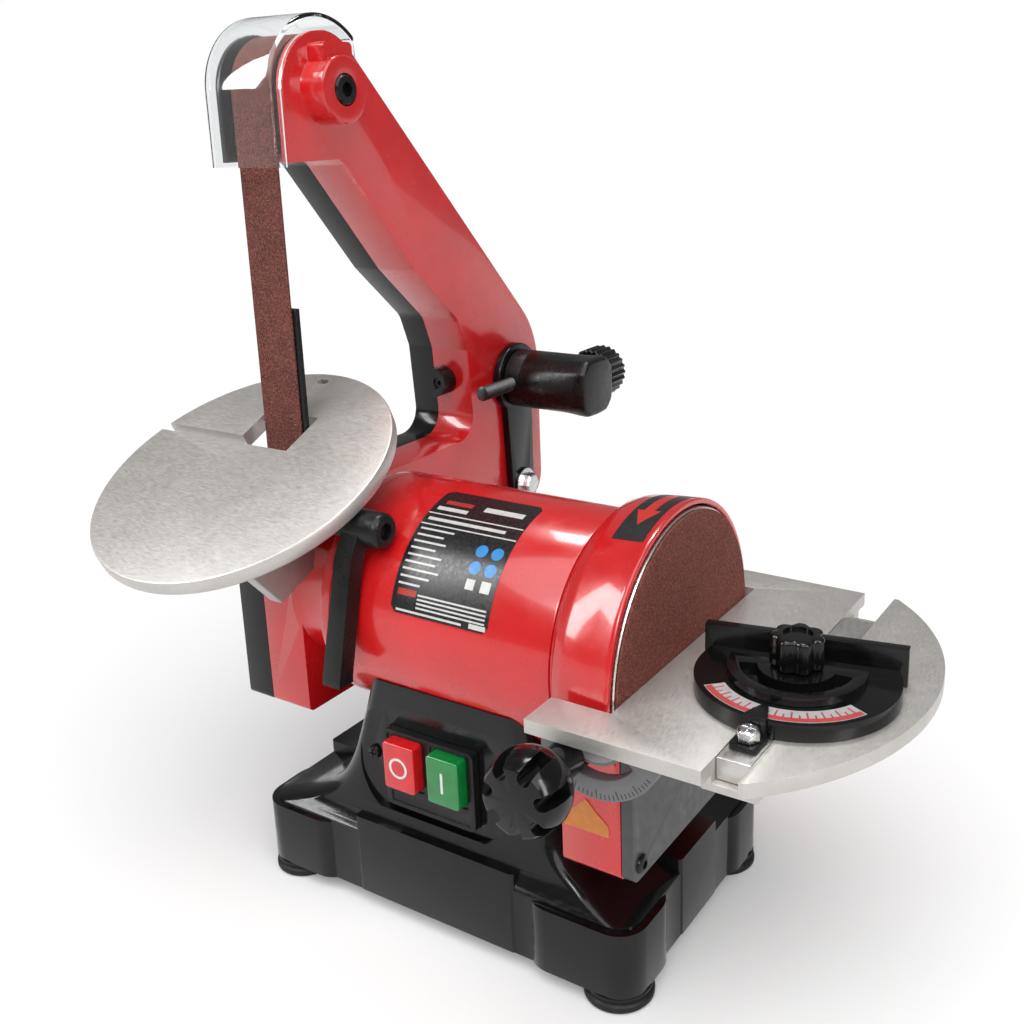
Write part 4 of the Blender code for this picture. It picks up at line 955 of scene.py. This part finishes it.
def mitre_gauge():
    """Ground bar, cast head with its fence and scale, lobed knob, and the bent pointer with its screw."""
    bar_low, bar_high = span("miter_bar")
    screw_at = seen("miter_pointer_screw", "Z")
    x, y = HEAD_AT
    low = TABLE_TOP + GAP

    def swung(bm):
        return turn(bm, HEAD_TURN, "Z", (x, y, 0))

    steps = [cut(rod("Z", HEAD_AT, 3.3, -3.5, 10)), cut(rod("Z", screw_at, 2.3, -3.5, 10, 24))]
    piece("miter_bar_ground", box(bar_low.x, bar_high.x, bar_low.y, bar_high.y, bar_low.z, bar_high.z),
          machined("bar_ground", "Y", (0.60, 0.59, 0.57), 0.36, 0.9), ("miter_bar",), steps, 0.4,
          body="miter_bar")
    back = 15.6
    ends = degrees(asin(back / HEAD_R_MITER))
    head = swung(prism(arc(HEAD_AT, HEAD_R_MITER, 180 - ends, 360 + ends, 120), "Z", low, HEAD_TOP))
    fence = swung(box(x - 41.5, x + 41.5, y + back - 0.3, y + 20.1, low + 0.2, 19.5))
    ring = swung(prism(arc(HEAD_AT, 27.7, 172, 368, 96), "Z", HEAD_TOP - 1, HEAD_TOP + 4))
    groove = arc(HEAD_AT, 22.8, 190, 350, 60) + arc(HEAD_AT, 15.6, 350, 190, 60)
    steps = [weld(fence), weld(ring), cut(swung(prism(groove, "Z", HEAD_TOP - 1.5, HEAD_TOP + 6))),
             cut(rod("Z", HEAD_AT, 3.3, 0, 20))]
    piece("miter_head_casting", head, gloss_black("head_black"), ("miter_head",), steps, 0.7,
          body="miter_head")
    first, last = 212, 322
    plate = arc(HEAD_AT, 38.6, first, last, 60) + arc(HEAD_AT, 30.0, last, first, 60)
    print_low, print_high = HEAD_TOP + 0.16, HEAD_TOP + 0.22
    piece("miter_scale_plate", swung(prism(plate, "Z", HEAD_TOP + 0.02, print_low)),
          print_ink("scale_silver", (0.50, 0.50, 0.50), 0.4), body="miter_head")
    edge = arc(HEAD_AT, 38.4, first + 1, last - 1, 60) + arc(HEAD_AT, 35.6, last - 1, first + 1, 60)
    marks = [swung(prism(edge, "Z", print_low, print_high))]
    for i in range(21):
        long = 4.4 if i % 2 == 0 else 2.4
        tick = box(x + 35.7 - long, x + 35.7, y - 0.35, y + 0.35, print_low, print_high)
        marks.append(swung(turn(tick, radians(first + 5 + 5 * i), "Z", (x, y, 0))))
    piece("miter_scale_marks", joined(marks), print_ink("scale_red", (0.58, 0.07, 0.07)), body="miter_head")

    bottom, top = span("miter_knob")[1].z - 13.7, span("miter_knob")[1].z
    steps = [weld(rod("Z", HEAD_AT, 3, -3.2, 15)), cut(rod("Z", HEAD_AT, 6.0, top - 1.2, top + 2, 48))]
    piece("miter_knob_grip", lobed("Z", HEAD_AT, 11.0, 1.9, 7, bottom, top, 1.6, 16, 1.4),
          gloss_black("miter_knob_black"), ("miter_knob",), steps, body="miter_knob")

    rim_y = y - HEAD_R_MITER - GAP
    foot = prism(rectangle(x - 5.5, x + 5.5, screw_at[1] - 6, rim_y, 1.2), "Z", TABLE_TOP + 0.1,
                 TABLE_TOP + 1.9)
    path = [(rim_y - 1.4, TABLE_TOP + 1), (rim_y, TABLE_TOP + 1), (rim_y, 10.4), (-49, 10.4), (-49, 11.8),
            (rim_y - 1.4, 11.8)]
    steps = [weld(prism(path, "X", x - 4.5, x + 4.5)), cut(rod("Z", screw_at, 2.3, 0, 8, 24))]
    for side in (-1, 1):
        tip = [(x + side * 9, -48), (x + side * 9, -58), (x + side * 4.6, -58), (x + side * 1, -48)]
        steps.append(cut(prism(tip, "Z", 8, 14)))
    piece("miter_pointer_strip", foot, satin_black("pointer_black", rough=0.3), ("miter_pointer",), steps,
          0.3, body="miter_bar")
    profile = offsets(TABLE_TOP, (2.2, 0.0), (2.2, 4.6), (5.9, 4.6), (6.8, 3.7), (6.8, 0.0))
    hexagon = turned(profile, "Z", screw_at, 6)
    steps = [weld(rod("Z", screw_at, 2, -2.5, 6, 24))]
    steps += cross("Z", screw_at, 2.6, 0.5, TABLE_TOP + 5.6, 20)
    piece("miter_pointer_screw_head", hexagon, steel("pointer_screw_zinc"), ("miter_pointer_screw",), steps,
          0.25, body="miter_bar")


# ---- belt side
ARM_CORNERS = [(180.0, 96.0, 56.0), (180.0, -5.0, 18.0), (60.0, -64.0, 20.0), (-40.0, -64.0, 3.0),
               (-40.0, 30.0, 3.0), (-31.0, 45.0, 3.0), (111.0, 45.0, 14.0), (107.0, 97.0, 6.0),
               (100.0, 116.0, 14.0), (65.0, 148.0, 18.0), (17.0, 206.0, 5.0)]


def arm_outline(shrink=0.0):
    """Side view of the belt arm: round head, sloping arm, knee, throat and lower case."""
    front = (TOP_WHEEL[0] - HEAD_R + shrink, 209.0 + shrink)
    head = arc(TOP_WHEEL, HEAD_R - shrink, 180, 43.4, 40)
    chain = [(25.6, 259.6, 0.0), *ARM_CORNERS, (12.0, 209.0, 2.0), (-21.0, 209.0, 0.0)]
    return [*head[:-1], *rounded([(*head[-1], 0.0), *inset(chain, shrink), (*front, 0.0)], 12)]


def hollow(low, high):
    """Cuts for the pocket inside the edge walls, the open head and the belt's slot in the lower case."""
    head = [(-60, 180), (-9, 180), (-9, 222), (44, 204), (90, 252), (90, 300), (-60, 300)]
    return [cut(prism(arm_outline(WALL), "X", low, high)), cut(prism(head, "X", low + 0.01, high - 0.01)),
            cut(box(low + 0.02, high - 0.02, -27.5, -11.0, 34, 60))]


def belt_frame():
    """Red casting that carries the wheels and runs into the motor barrel."""
    edge = FRAME_RIGHT
    neck = [(edge - 2, 12), (edge - 2, 43.5), (edge + 1.2, 42.1), (edge + 5, 41.5), (-174, 41.5),
            (-170.5, 43.2), (-167.5, 47.5), (-165.9, 53.6), (BARREL_LEFT - GAP, 54.9),
            (BARREL_LEFT - GAP, 12)]
    boss = [(edge - 2, 0.0), (edge - 2, 16.6), (edge + 0.8, 15.9), (-181.3, 15.6), (-180.5, 14.8)]
    boss += [(-180.5, 0.0)]
    pad = rounded([(-3.5, 245, 0), (16, 245, 0), (16, 262.5, 2.5), (-3.5, 262.5, 2.5)])
    steps = [weld(turned(neck, "X", sides=140)), weld(turned(boss, "X", TOP_WHEEL, 96)),
             weld(prism(pad, "X", edge - 1.5, -184))]
    steps += hollow(FRAME_LEFT - 2, edge - 5.0)
    y, z = TENSION_WHEEL
    window = rounded([(y - 17, z - 7, 5), (y + 7, z - 7, 5), (y + 7, z + 7, 5), (y - 17, z + 7, 5)])
    steps += [cut(prism(window, "X", -204.7, -185.3)), cut(rod("X", ARM_PIVOT, PIN_HOLE, -205.3, -185.1)),
              cut(rod("X", (0, 0), 7.5, -210.2, -180.4)), cut(rod("X", TOP_WHEEL, PIN_HOLE, -211.1, -170.2)),
              cut(rod("X", TOP_WHEEL, 7.5, -185.6, -171, 48))]
    piece("belt_arm", prism(arm_outline(), "X", FRAME_LEFT, edge), enamel("arm_red"), ("belt_frame",),
          steps, 0.9)


def side_cover():
    """Black cover that closes the arm from the left, with three cross-head screws."""
    deep = COVER_LEFT + 2.5
    steps = hollow(deep, FRAME_LEFT + 3)
    zinc = steel("cover_screw_zinc", (0.30, 0.30, 0.31), 0.3)
    for name in ("upper", "rear", "lower"):
        node = f"cover_screw_{name}"
        steps.append(cut(rod("X", seen(node, "X"), 2.8, COVER_LEFT - 6, COVER_LEFT + 6, 24)))
        rows = [(0, 0.0), (0.1, 2.0), (0.9, 3.7), (2.6, 4.6), (2.7, 2.5)]
        screw_head(node, "X", rows, COVER_LEFT + 8, zinc, (2.6, 0.45, 1.3))
    at = seen("guard_screw", "X")
    steps.append(cut(rod("X", at, 2.3, COVER_LEFT - 3, COVER_LEFT + 4, 24)))
    piece("arm_cover", prism(arm_outline(), "X", COVER_LEFT, FRAME_LEFT - GAP), gloss_black("cover_black"),
          ("side_cover",), steps, 0.8)
    rows = [(0, 0.0), (0.1, 1.6), (0.9, 2.9), (2.3, 3.4), (2.3, 2.0)]
    black = satin_black("guard_screw_black", rough=0.3)
    screw_head("guard_screw", "X", rows, COVER_LEFT + 1.5, black, sides=36)


def throat_lug():
    """Rounded black ear in the arm's throat with its socket-head screw."""
    ear = [(-213.6 + 9.6 * cos(radians(a)), 78 + 8.6 * sin(radians(a))) for a in range(-90, 91, 5)]
    lug = prism(ear, "Y", 98.0, 108.2)
    steps = [cut(rod("Y", (-209.4, 78), 3.4, 96, 99.2, 32)), cut(rod("Y", (-209.4, 78), 1.5, 96, 101, 6))]
    piece("throat_lug", lug, satin_black("lug_black", rough=0.3), steps=steps, edge=0.6)


def top_guard():
    """Clear hood over the top wheel: a front and top band, a left wall, and a rim beside the casting."""
    y, z = TOP_WHEEL
    outer, inner = 35.0, 33.2
    low, high = span("top_guard")

    def dome(radius, bottom, rear):
        return [(y - radius, bottom), *arc(TOP_WHEEL, radius, 180, 46, 60), (rear, 255.0),
                (rear - 6, bottom)]

    def body(radius, left, right, bottom, rear, rounding):
        """The dome between two ends, rounded over by this much on the left and less on the right."""
        levels = []
        for k in range(7):
            levels.append((left + rounding * (1 - cos(k * pi / 12)), rounding * (1 - sin(k * pi / 12))))
        small = 0.3 * rounding
        for k in range(7):
            levels.append((right - 0.3 - small * (1 - sin(k * pi / 12)), small * (1 - cos(k * pi / 12))))
        sections = []
        for x, shrink in levels:
            sections.append([(x, u, v) for u, v in dome(radius - shrink, bottom, rear)])
        return loft(sections)

    shell = body(outer, low.x, high.x, low.z, 30.0, 5.0)
    cavity = body(inner, low.x + 1.9, high.x - 1.7, 180.0, 60.0, 3.4)
    rim = [(y - 27.5, 180.0), *arc(TOP_WHEEL, 27.5, 180, 43.4, 50), (86, 196), (86, 180)]
    at = seen("guard_screw", "X")
    steps = [cut(cavity), cut(prism(rim, "X", high.x - 4, high.x + 4)),
             cut(rod("X", at, 2.3, low.x - 5, low.x + 3, 24))]
    piece("guard_dome", shell, clear_plastic("guard_clear"), ("top_guard",), steps, smooth=40)


def belt_loop(extra):
    """Outline of a band round the three wheels, this far outside them."""
    steps = 40
    wheels = [((0.0, 0.0), DRIVE_R), (TENSION_WHEEL, TENSION_R), (TOP_WHEEL, TOP_R)]
    angles = []
    for i, (centre, radius) in enumerate(wheels):
        other, other_radius = wheels[(i + 1) % 3]
        run = hypot(other[0] - centre[0], other[1] - centre[1])
        heading = atan2(other[1] - centre[1], other[0] - centre[0])
        angles.append(heading - acos((radius - other_radius) / run))
    outline = []
    for i, (centre, radius) in enumerate(wheels):
        start, end = angles[i - 1], angles[i]
        while end < start:
            end += 2 * pi
        outline += arc(centre, radius + extra, degrees(start), degrees(end), steps)
    return outline


def sanding_belt():
    """Endless abrasive belt: cloth inside, grit outside, with its slanted splice."""
    loops = [(belt_loop(0.3), BELT_LOW), (belt_loop(1.2), BELT_LOW),
             (belt_loop(1.2), BELT_HIGH), (belt_loop(0.3), BELT_HIGH)]
    bm = bmesh.new()
    rings = [[bm.verts.new(place("X", *p, w)) for p in loop] for loop, w in loops]
    count = len(rings[0])
    for k in range(4):
        first, second = rings[k], rings[(k + 1) % 4]
        for i in range(count):
            j = (i + 1) % count
            bm.faces.new((first[i], first[j], second[j], second[i]))
    piece("belt_band", outward(bm), abrasive("belt_grit", (0.115, 0.029, 0.020)), ("sanding_belt",))
    front = -(DRIVE_R + 1.2)
    seam = [(BELT_LOW + 0.4, 158.0), (BELT_HIGH - 0.4, 171.0), (BELT_HIGH - 0.4, 171.5),
            (BELT_LOW + 0.4, 158.5)]
    piece("belt_splice", prism(seam, "Y", front - 0.02, front + 0.1),
          abrasive("splice_grit", (0.07, 0.02, 0.014)))


def wheel(name, centre, radius, bore, material, body):
    """Crowned wheel with a turned-down web on both sides."""
    low, high = BELT_X - 13, BELT_X + 13
    rim, hub = radius - 4, bore + 4
    crown = [(low + 26 * t / 12, radius - 0.5 * abs(2 * t / 12 - 1) ** 2) for t in range(13)]
    profile = [(low, bore), (low, hub), (low + 6, hub), (low + 6, rim), (low, rim), *crown, (high, rim),
               (high - 6, rim), (high - 6, hub), (high, hub), (high, bore)]
    return piece(name + "_crowned", turned(profile, "X", centre, 96), material, (name,), body=body)


def wheels():
    """Drive wheel on the shaft, top wheel on its bolt, and tension wheel on the arm's axle."""
    nylon = satin_black("wheel_nylon", (0.02, 0.02, 0.021))
    wheel("drive_wheel", (0.0, 0.0), DRIVE_R, 6.3, rubber("drive_wheel_rubber"), "spindle")
    wheel("top_wheel", TOP_WHEEL, TOP_R, 4.3, nylon, "top_wheel")
    wheel("tension_wheel", TENSION_WHEEL, TENSION_R, 4.3, nylon, "tension_wheel")
    bolt = [(BELT_X - 16, 0.0), (BELT_X - 16, 4.0), (-185.2, 4.0), (-185.2, 7.0), (-180.6, 7.0),
            (-179.7, 6.2), (-179.6, 3.3), (-183.0, 3.3), (-183.0, 0.0)]
    piece("top_wheel_bolt_head", turned(bolt, "X", TOP_WHEEL, 48),
          satin_black("top_bolt_black", rough=0.25), ("top_wheel_bolt",))


def platen():
    """Steel backing plate behind the belt's front run, with a foot against the casting's wall."""
    low, high = span("platen")
    steps = [weld(box(-202.5, high.x, low.y + 1, high.y, 22, 34))]
    piece("platen_plate", box(low.x, -201, low.y, low.y + 3, low.z, high.z),
          satin_black("platen_black", rough=0.3), ("platen",), steps, 0.5)


def tension_unit():
    """Strip arm, moulded grip, axle, ribbed tracking knob, threaded stop screw and hex pivot bolt."""
    y, z = TENSION_WHEEL
    py, pz = ARM_PIVOT
    low, high = span("tension_arm")[0].x, span("tension_arm")[1].x
    plate = [(py - 11.5, pz), *arc(ARM_PIVOT, 11.5, 182, 358, 40), (py + 11.5, pz),
             *arc(TENSION_WHEEL, 21.0, -50, 230, 80)]
    steps = [cut(rod("X", at, PIN_HOLE, low - 3, high + 3)) for at in (ARM_PIVOT, TENSION_WHEEL)]
    piece("tension_strip", prism(plate, "X", low, high), gloss_black("strip_black"), ("tension_arm",),
          steps, 0.7, body="tension_lever")
    zinc = steel("pivot_zinc")
    shank = rod("X", ARM_PIVOT, PIN_R, -202.5, high + 1)
    washer = tube("X", ARM_PIVOT, 3.9, 9.2, high + GAP, high + 1.6)
    bolt = turned([(high + 1.5, 0.0), (high + 1.5, 6.8), (high + 6, 6.8), (high + 7, 5.8), (high + 7, 0.0)],
                  "X", ARM_PIVOT, 6)
    piece("arm_pivot_hex", bolt, zinc, ("arm_pivot_bolt",), (weld(washer), weld(shank)), 0.3)
    piece("tension_axle_pin", rod("X", TENSION_WHEEL, PIN_R, BELT_X - 16, -178), zinc, ("tension_axle",),
          body="tension_lever")

    end = span("tension_grip")[1].x
    levels = [(high + GAP, 16.6, 0.0), (high + 1.2, 17.5, 0.0), (high + 10, 17.5, 0.0),
              (high + 11, 17.1, 0.0), (high + 12, 17.1, 0.0), (high + 13, 17.5, 0.0),
              (end - 24, 17.5, 0.05), (end - 14, 17.3, 0.35), (end - 8, 17.1, 0.65), (end - 3, 17.0, 0.8),
              (end - 1.2, 16.6, 0.8), (end - 0.4, 15.9, 0.8)]
    sections = []
    for x, radius, square in (*levels, (end, 14.8, 0.8)):
        ring = []
        for i in range(96):
            angle = 2 * pi * i / 96
            corner = 1 / max(abs(cos(angle)), abs(sin(angle)))
            reach = radius * (1 + square * (min(corner, 1.16) - 1))
            ring.append((x, y + reach * cos(angle), z + reach * sin(angle)))
        sections.append(ring)
    knob_x = middle("tracking_knob").x
    steps = [cut(rod("X", TENSION_WHEEL, PIN_HOLE, high - 2, -177)),
             cut(rod("Y", (knob_x, z), 3.3, y + 5, y + 30)),
             cut(rod("Y", (middle("stop_screw").x, z), 4.5, y - 48, y - 11))]
    piece("tension_grip_body", loft(sections), satin_black("grip_black", rough=0.3), ("tension_grip",),
          steps, body="tension_lever")

    hub = y + 20.0
    collar = turned([(hub + GAP, 0.0), (hub + GAP, 8.0), (hub + 6, 8.0), (hub + 6, 0.0)], "Y", (knob_x, z),
                    48)
    steps = [weld(collar), weld(rod("Y", (knob_x, z), 3, y + 7, hub + 1)),
             cut(rod("Y", (knob_x, z), 8.5, hub + 22.3, hub + 30, 48))]
    piece("tracking_knob_grip", lobed("Y", (knob_x, z), 15.5, 1.1, 24, hub + 5, hub + 23, 1.4, 8),
          gloss_black("tracking_black"), ("tracking_knob",), steps, body="tracking_knob")
    start, stop, screw_x = y - 46, y - 11.5, middle("stop_screw").x
    ridges = [(start, 0.0), (start, 3.4)]
    pitch = 1.7
    for i in range(int((stop - start - 1) / pitch)):
        ridges += [(start + 0.4 + pitch * i, 4.2), (start + 0.4 + pitch * (i + 0.5), 3.4)]
    ridges += [(stop, 3.5), (stop, 0.0)]
    piece("stop_screw_thread", turned(ridges, "Y", (screw_x, z), 32),
          steel("stop_screw_zinc", (0.07, 0.07, 0.072), 0.35), ("stop_screw",), body="tension_lever")


def belt_table():
    """Round ground table with its opening and slot, cast rib, fixed bracket and pivot bolt."""
    py, pz = BELT_PIVOT
    pivot = (BELT_X, py, pz)
    top = pz + BELT_TABLE_HIGH
    bottom = top - BELT_TABLE_THICK
    centre = (-216.0, py + 5.8)
    tilt = (TABLE_TILT, "X", pivot)
    profile = [(bottom, 0.0), (bottom, BELT_TABLE_R - 1.4), (bottom + 0.4, BELT_TABLE_R - 0.5),
               (bottom + 1.4, BELT_TABLE_R), (top - 1.2, BELT_TABLE_R), (top - 0.35, BELT_TABLE_R - 0.4),
               (top, BELT_TABLE_R - 1.3), (top, 0.0)]
    front = py + 22.3
    pin = rectangle(-222.5, -215.5, py + 74, py + 77.5, 1.7)
    steps = [cut(turn(box(-235.0, -200.2, front, front + 26.1, bottom - 3, top + 3), *tilt)),
             cut(turn(box(-300, -234.0, front + 0.1, front + 5.5, bottom - 3, top + 3), *tilt)),
             cut(turn(prism(pin, "Z", bottom - 3, top + 3), *tilt))]
    disc_mesh = turn(turned(profile, "Z", centre, 180), *tilt)
    piece("belt_table_casting", disc_mesh, machined("belt_table_ground", "X"), ("belt_table",), steps,
          body="belt_table")
    rib = [(py + 34, bottom - GAP), (py + 12, pz - 1), (py - 9, pz - 29), (py - 33, pz - 27.7),
           (py - 44, bottom - GAP)]
    piece("belt_table_web", turn(prism(rib, "X", -187.4, -179.4), *tilt),
          machined("web_cast", "Z", (0.5, 0.49, 0.47), 0.55), ("belt_table_rib",),
          [cut(rod("X", BELT_PIVOT, PIN_HOLE, -195, -170))], 0.8, body="belt_table")
    ear = [*arc(BELT_PIVOT, 8.8, 60, 250, 40), (-36, 28.5), (-25.5, 36.5), (-25.5, 43)]
    piece("belt_table_ear", prism(ear, "X", FRAME_RIGHT + GAP, -187.7), satin_black("ear_black"),
          ("belt_table_bracket",), [cut(rod("X", BELT_PIVOT, PIN_HOLE, -200, -180))], 0.5)
    head = turned([(-200, 0.0), (-200, 6.4), (FRAME_RIGHT, 6.4), (FRAME_RIGHT, 0.0)], "X", BELT_PIVOT, 6)
    piece("belt_table_pivot_bolt", head, steel("table_bolt_zinc"), ("belt_table_bolt",),
          [weld(rod("X", BELT_PIVOT, PIN_R, FRAME_RIGHT - 1, -138))], 0.2)


def table_lever():
    """Clamping lever with a round hub and a tapered square arm that hangs in front of the barrel."""
    y, z = BELT_PIVOT
    hub = [(-178.6, 0.0), (-178.6, 6.0), (-178.2, 6.4), (-151, 6.4), (-150, 7.6), (-149, 8.4),
           (-130.4, 8.4), (-129, 7.9), (-128, 6.8), (-128, 3.9), (-132, 3.9), (-132, 0.0)]
    shoulder = [(-147.5, y - 7.5), (-137.5, y - 7.5), (-137.5, y + 1), (-147.5, y + 1)]
    upper = [(-148.5, y - 13.4), (-138.5, y - 13.4), (-138.5, y - 4.6), (-148.5, y - 4.6)]
    lower = [(-150, y - 25.6), (-139.5, y - 25.6), (-139.5, y - 16.6), (-150, y - 16.6)]
    bar = loft([[(u, v, z + 1) for u, v in shoulder], [(u, v, z - 12) for u, v in upper],
                [(u, v, z - 67) for u, v in lower], [(u * 0.999, v - 0.4, z - 70) for u, v in lower]])
    piece("table_lever_arm", bar, satin_black("lever_black", rough=0.32), ("table_lever",),
          [weld(turned(hub, "X", BELT_PIVOT, 72)), cut(rod("X", BELT_PIVOT, PIN_HOLE, -190, -136))], 0.7,
          body="table_lever")


# ---- stage
SURROUND_LIGHT = 0.24
SKY_LIGHT = 3.0
STRIPS = (("left_strip", (-1.2, -1.1, 1.1), (0.35, 1.3), 20),
          ("right_strip", (1.5, -0.4, 0.9), (0.25, 1.3), 13),
          ("top_box", (-0.1, 0.35, 1.7), (0.6, 0.3), 12), ("front_box", (0.1, -1.8, 1.5), (0.5, 0.25), 7))


def studio():
    """Pale floor, white surround, a soft overhead light, and soft boxes that only show in the gloss."""
    scene = bpy.context.scene
    floor_mesh = bmesh.new()
    bmesh.ops.create_grid(floor_mesh, x_segments=1, y_segments=1, size=6.0)
    mesh = bpy.data.meshes.new("floor")
    floor_mesh.to_mesh(mesh)
    floor_mesh.free()
    floor = bpy.data.objects.new("floor", mesh)
    scene.collection.objects.link(floor)
    paper = Surface("floor_paper", (0.93, 0.93, 0.93), 0.85)
    paper.polish(paper.noise(60, 2), 0.03)
    paper.shader.inputs["Emission Color"].default_value = (1, 1, 1, 1)
    paper.shader.inputs["Emission Strength"].default_value = 0.09
    mesh.materials.append(paper.material)

    world = bpy.data.worlds.new("surround")
    world.use_nodes = True
    nodes, links = world.node_tree.nodes, world.node_tree.links
    path = nodes.new("ShaderNodeLightPath")
    either = nodes.new("ShaderNodeMath")
    either.operation = "MAXIMUM"
    links.new(path.outputs["Is Camera Ray"], either.inputs[0])
    links.new(path.outputs["Is Transmission Ray"], either.inputs[1])
    level = nodes.new("ShaderNodeMapRange")
    level.inputs["To Min"].default_value = SURROUND_LIGHT
    level.inputs["To Max"].default_value = 1.0
    links.new(either.outputs[0], level.inputs["Value"])
    links.new(level.outputs[0], nodes["Background"].inputs["Strength"])
    nodes["Background"].inputs["Color"].default_value = (1, 1, 1, 1)
    scene.world = world

    sun = bpy.data.lights.new("sky", "SUN")
    sun.energy, sun.angle = SKY_LIGHT, radians(70)
    aimed(sun, (0.45, -0.75, 1.5))
    for name, stand, size, power in STRIPS:
        lamp = bpy.data.lights.new(name, "AREA")
        lamp.shape = "RECTANGLE"
        lamp.size, lamp.size_y = size
        lamp.energy = power
        aimed(lamp, stand).visible_diffuse = False
    scene.view_settings.view_transform = "Standard"


def aimed(lamp, stand):
    """Puts a lamp at a point, facing the middle of the machine."""
    obj = bpy.data.objects.new(lamp.name, lamp)
    obj.location = stand
    obj.rotation_euler = (Vector((0, 0, 0.2)) - Vector(stand)).to_track_quat("-Z", "Y").to_euler()
    bpy.context.scene.collection.objects.link(obj)
    return obj


def camera():
    """Camera at the photograph's angle: 33 degrees to the right of the front, 16 degrees up."""
    azimuth, height, roll = radians(32.68), radians(15.84), radians(-1.60)
    forward = Vector((-sin(azimuth) * cos(height), cos(azimuth) * cos(height), -sin(height)))
    right = Vector((cos(azimuth), sin(azimuth), 0))
    up = right.cross(forward)
    across = right * cos(roll) + up * sin(roll)
    above = up * cos(roll) - right * sin(roll)
    data = bpy.data.cameras.new("camera")
    data.sensor_width = 36
    data.lens = 41.13
    data.shift_x, data.shift_y = -0.0469, -0.0703
    data.clip_end = 20
    obj = bpy.data.objects.new("camera", data)
    turn_to = Matrix((across, above, -forward)).transposed()
    place_at = (Vector((207.87, -422.87, 230.06)) + AXIS) * MM
    obj.matrix_world = Matrix.Translation(place_at) @ turn_to.to_4x4()
    bpy.context.scene.collection.objects.link(obj)
    bpy.context.scene.camera = obj


base_housing()
feet_and_fittings()
switch_unit()
motor()
motor_label()
disc()
disc_housing()
direction_arrow()
disc_cover()
angle_pointer()
disc_table()
lock_knob()
mitre_gauge()
belt_frame()
side_cover()
throat_lug()
top_guard()
sanding_belt()
wheels()
platen()
tension_unit()
belt_table()
table_lever()
studio()
camera()
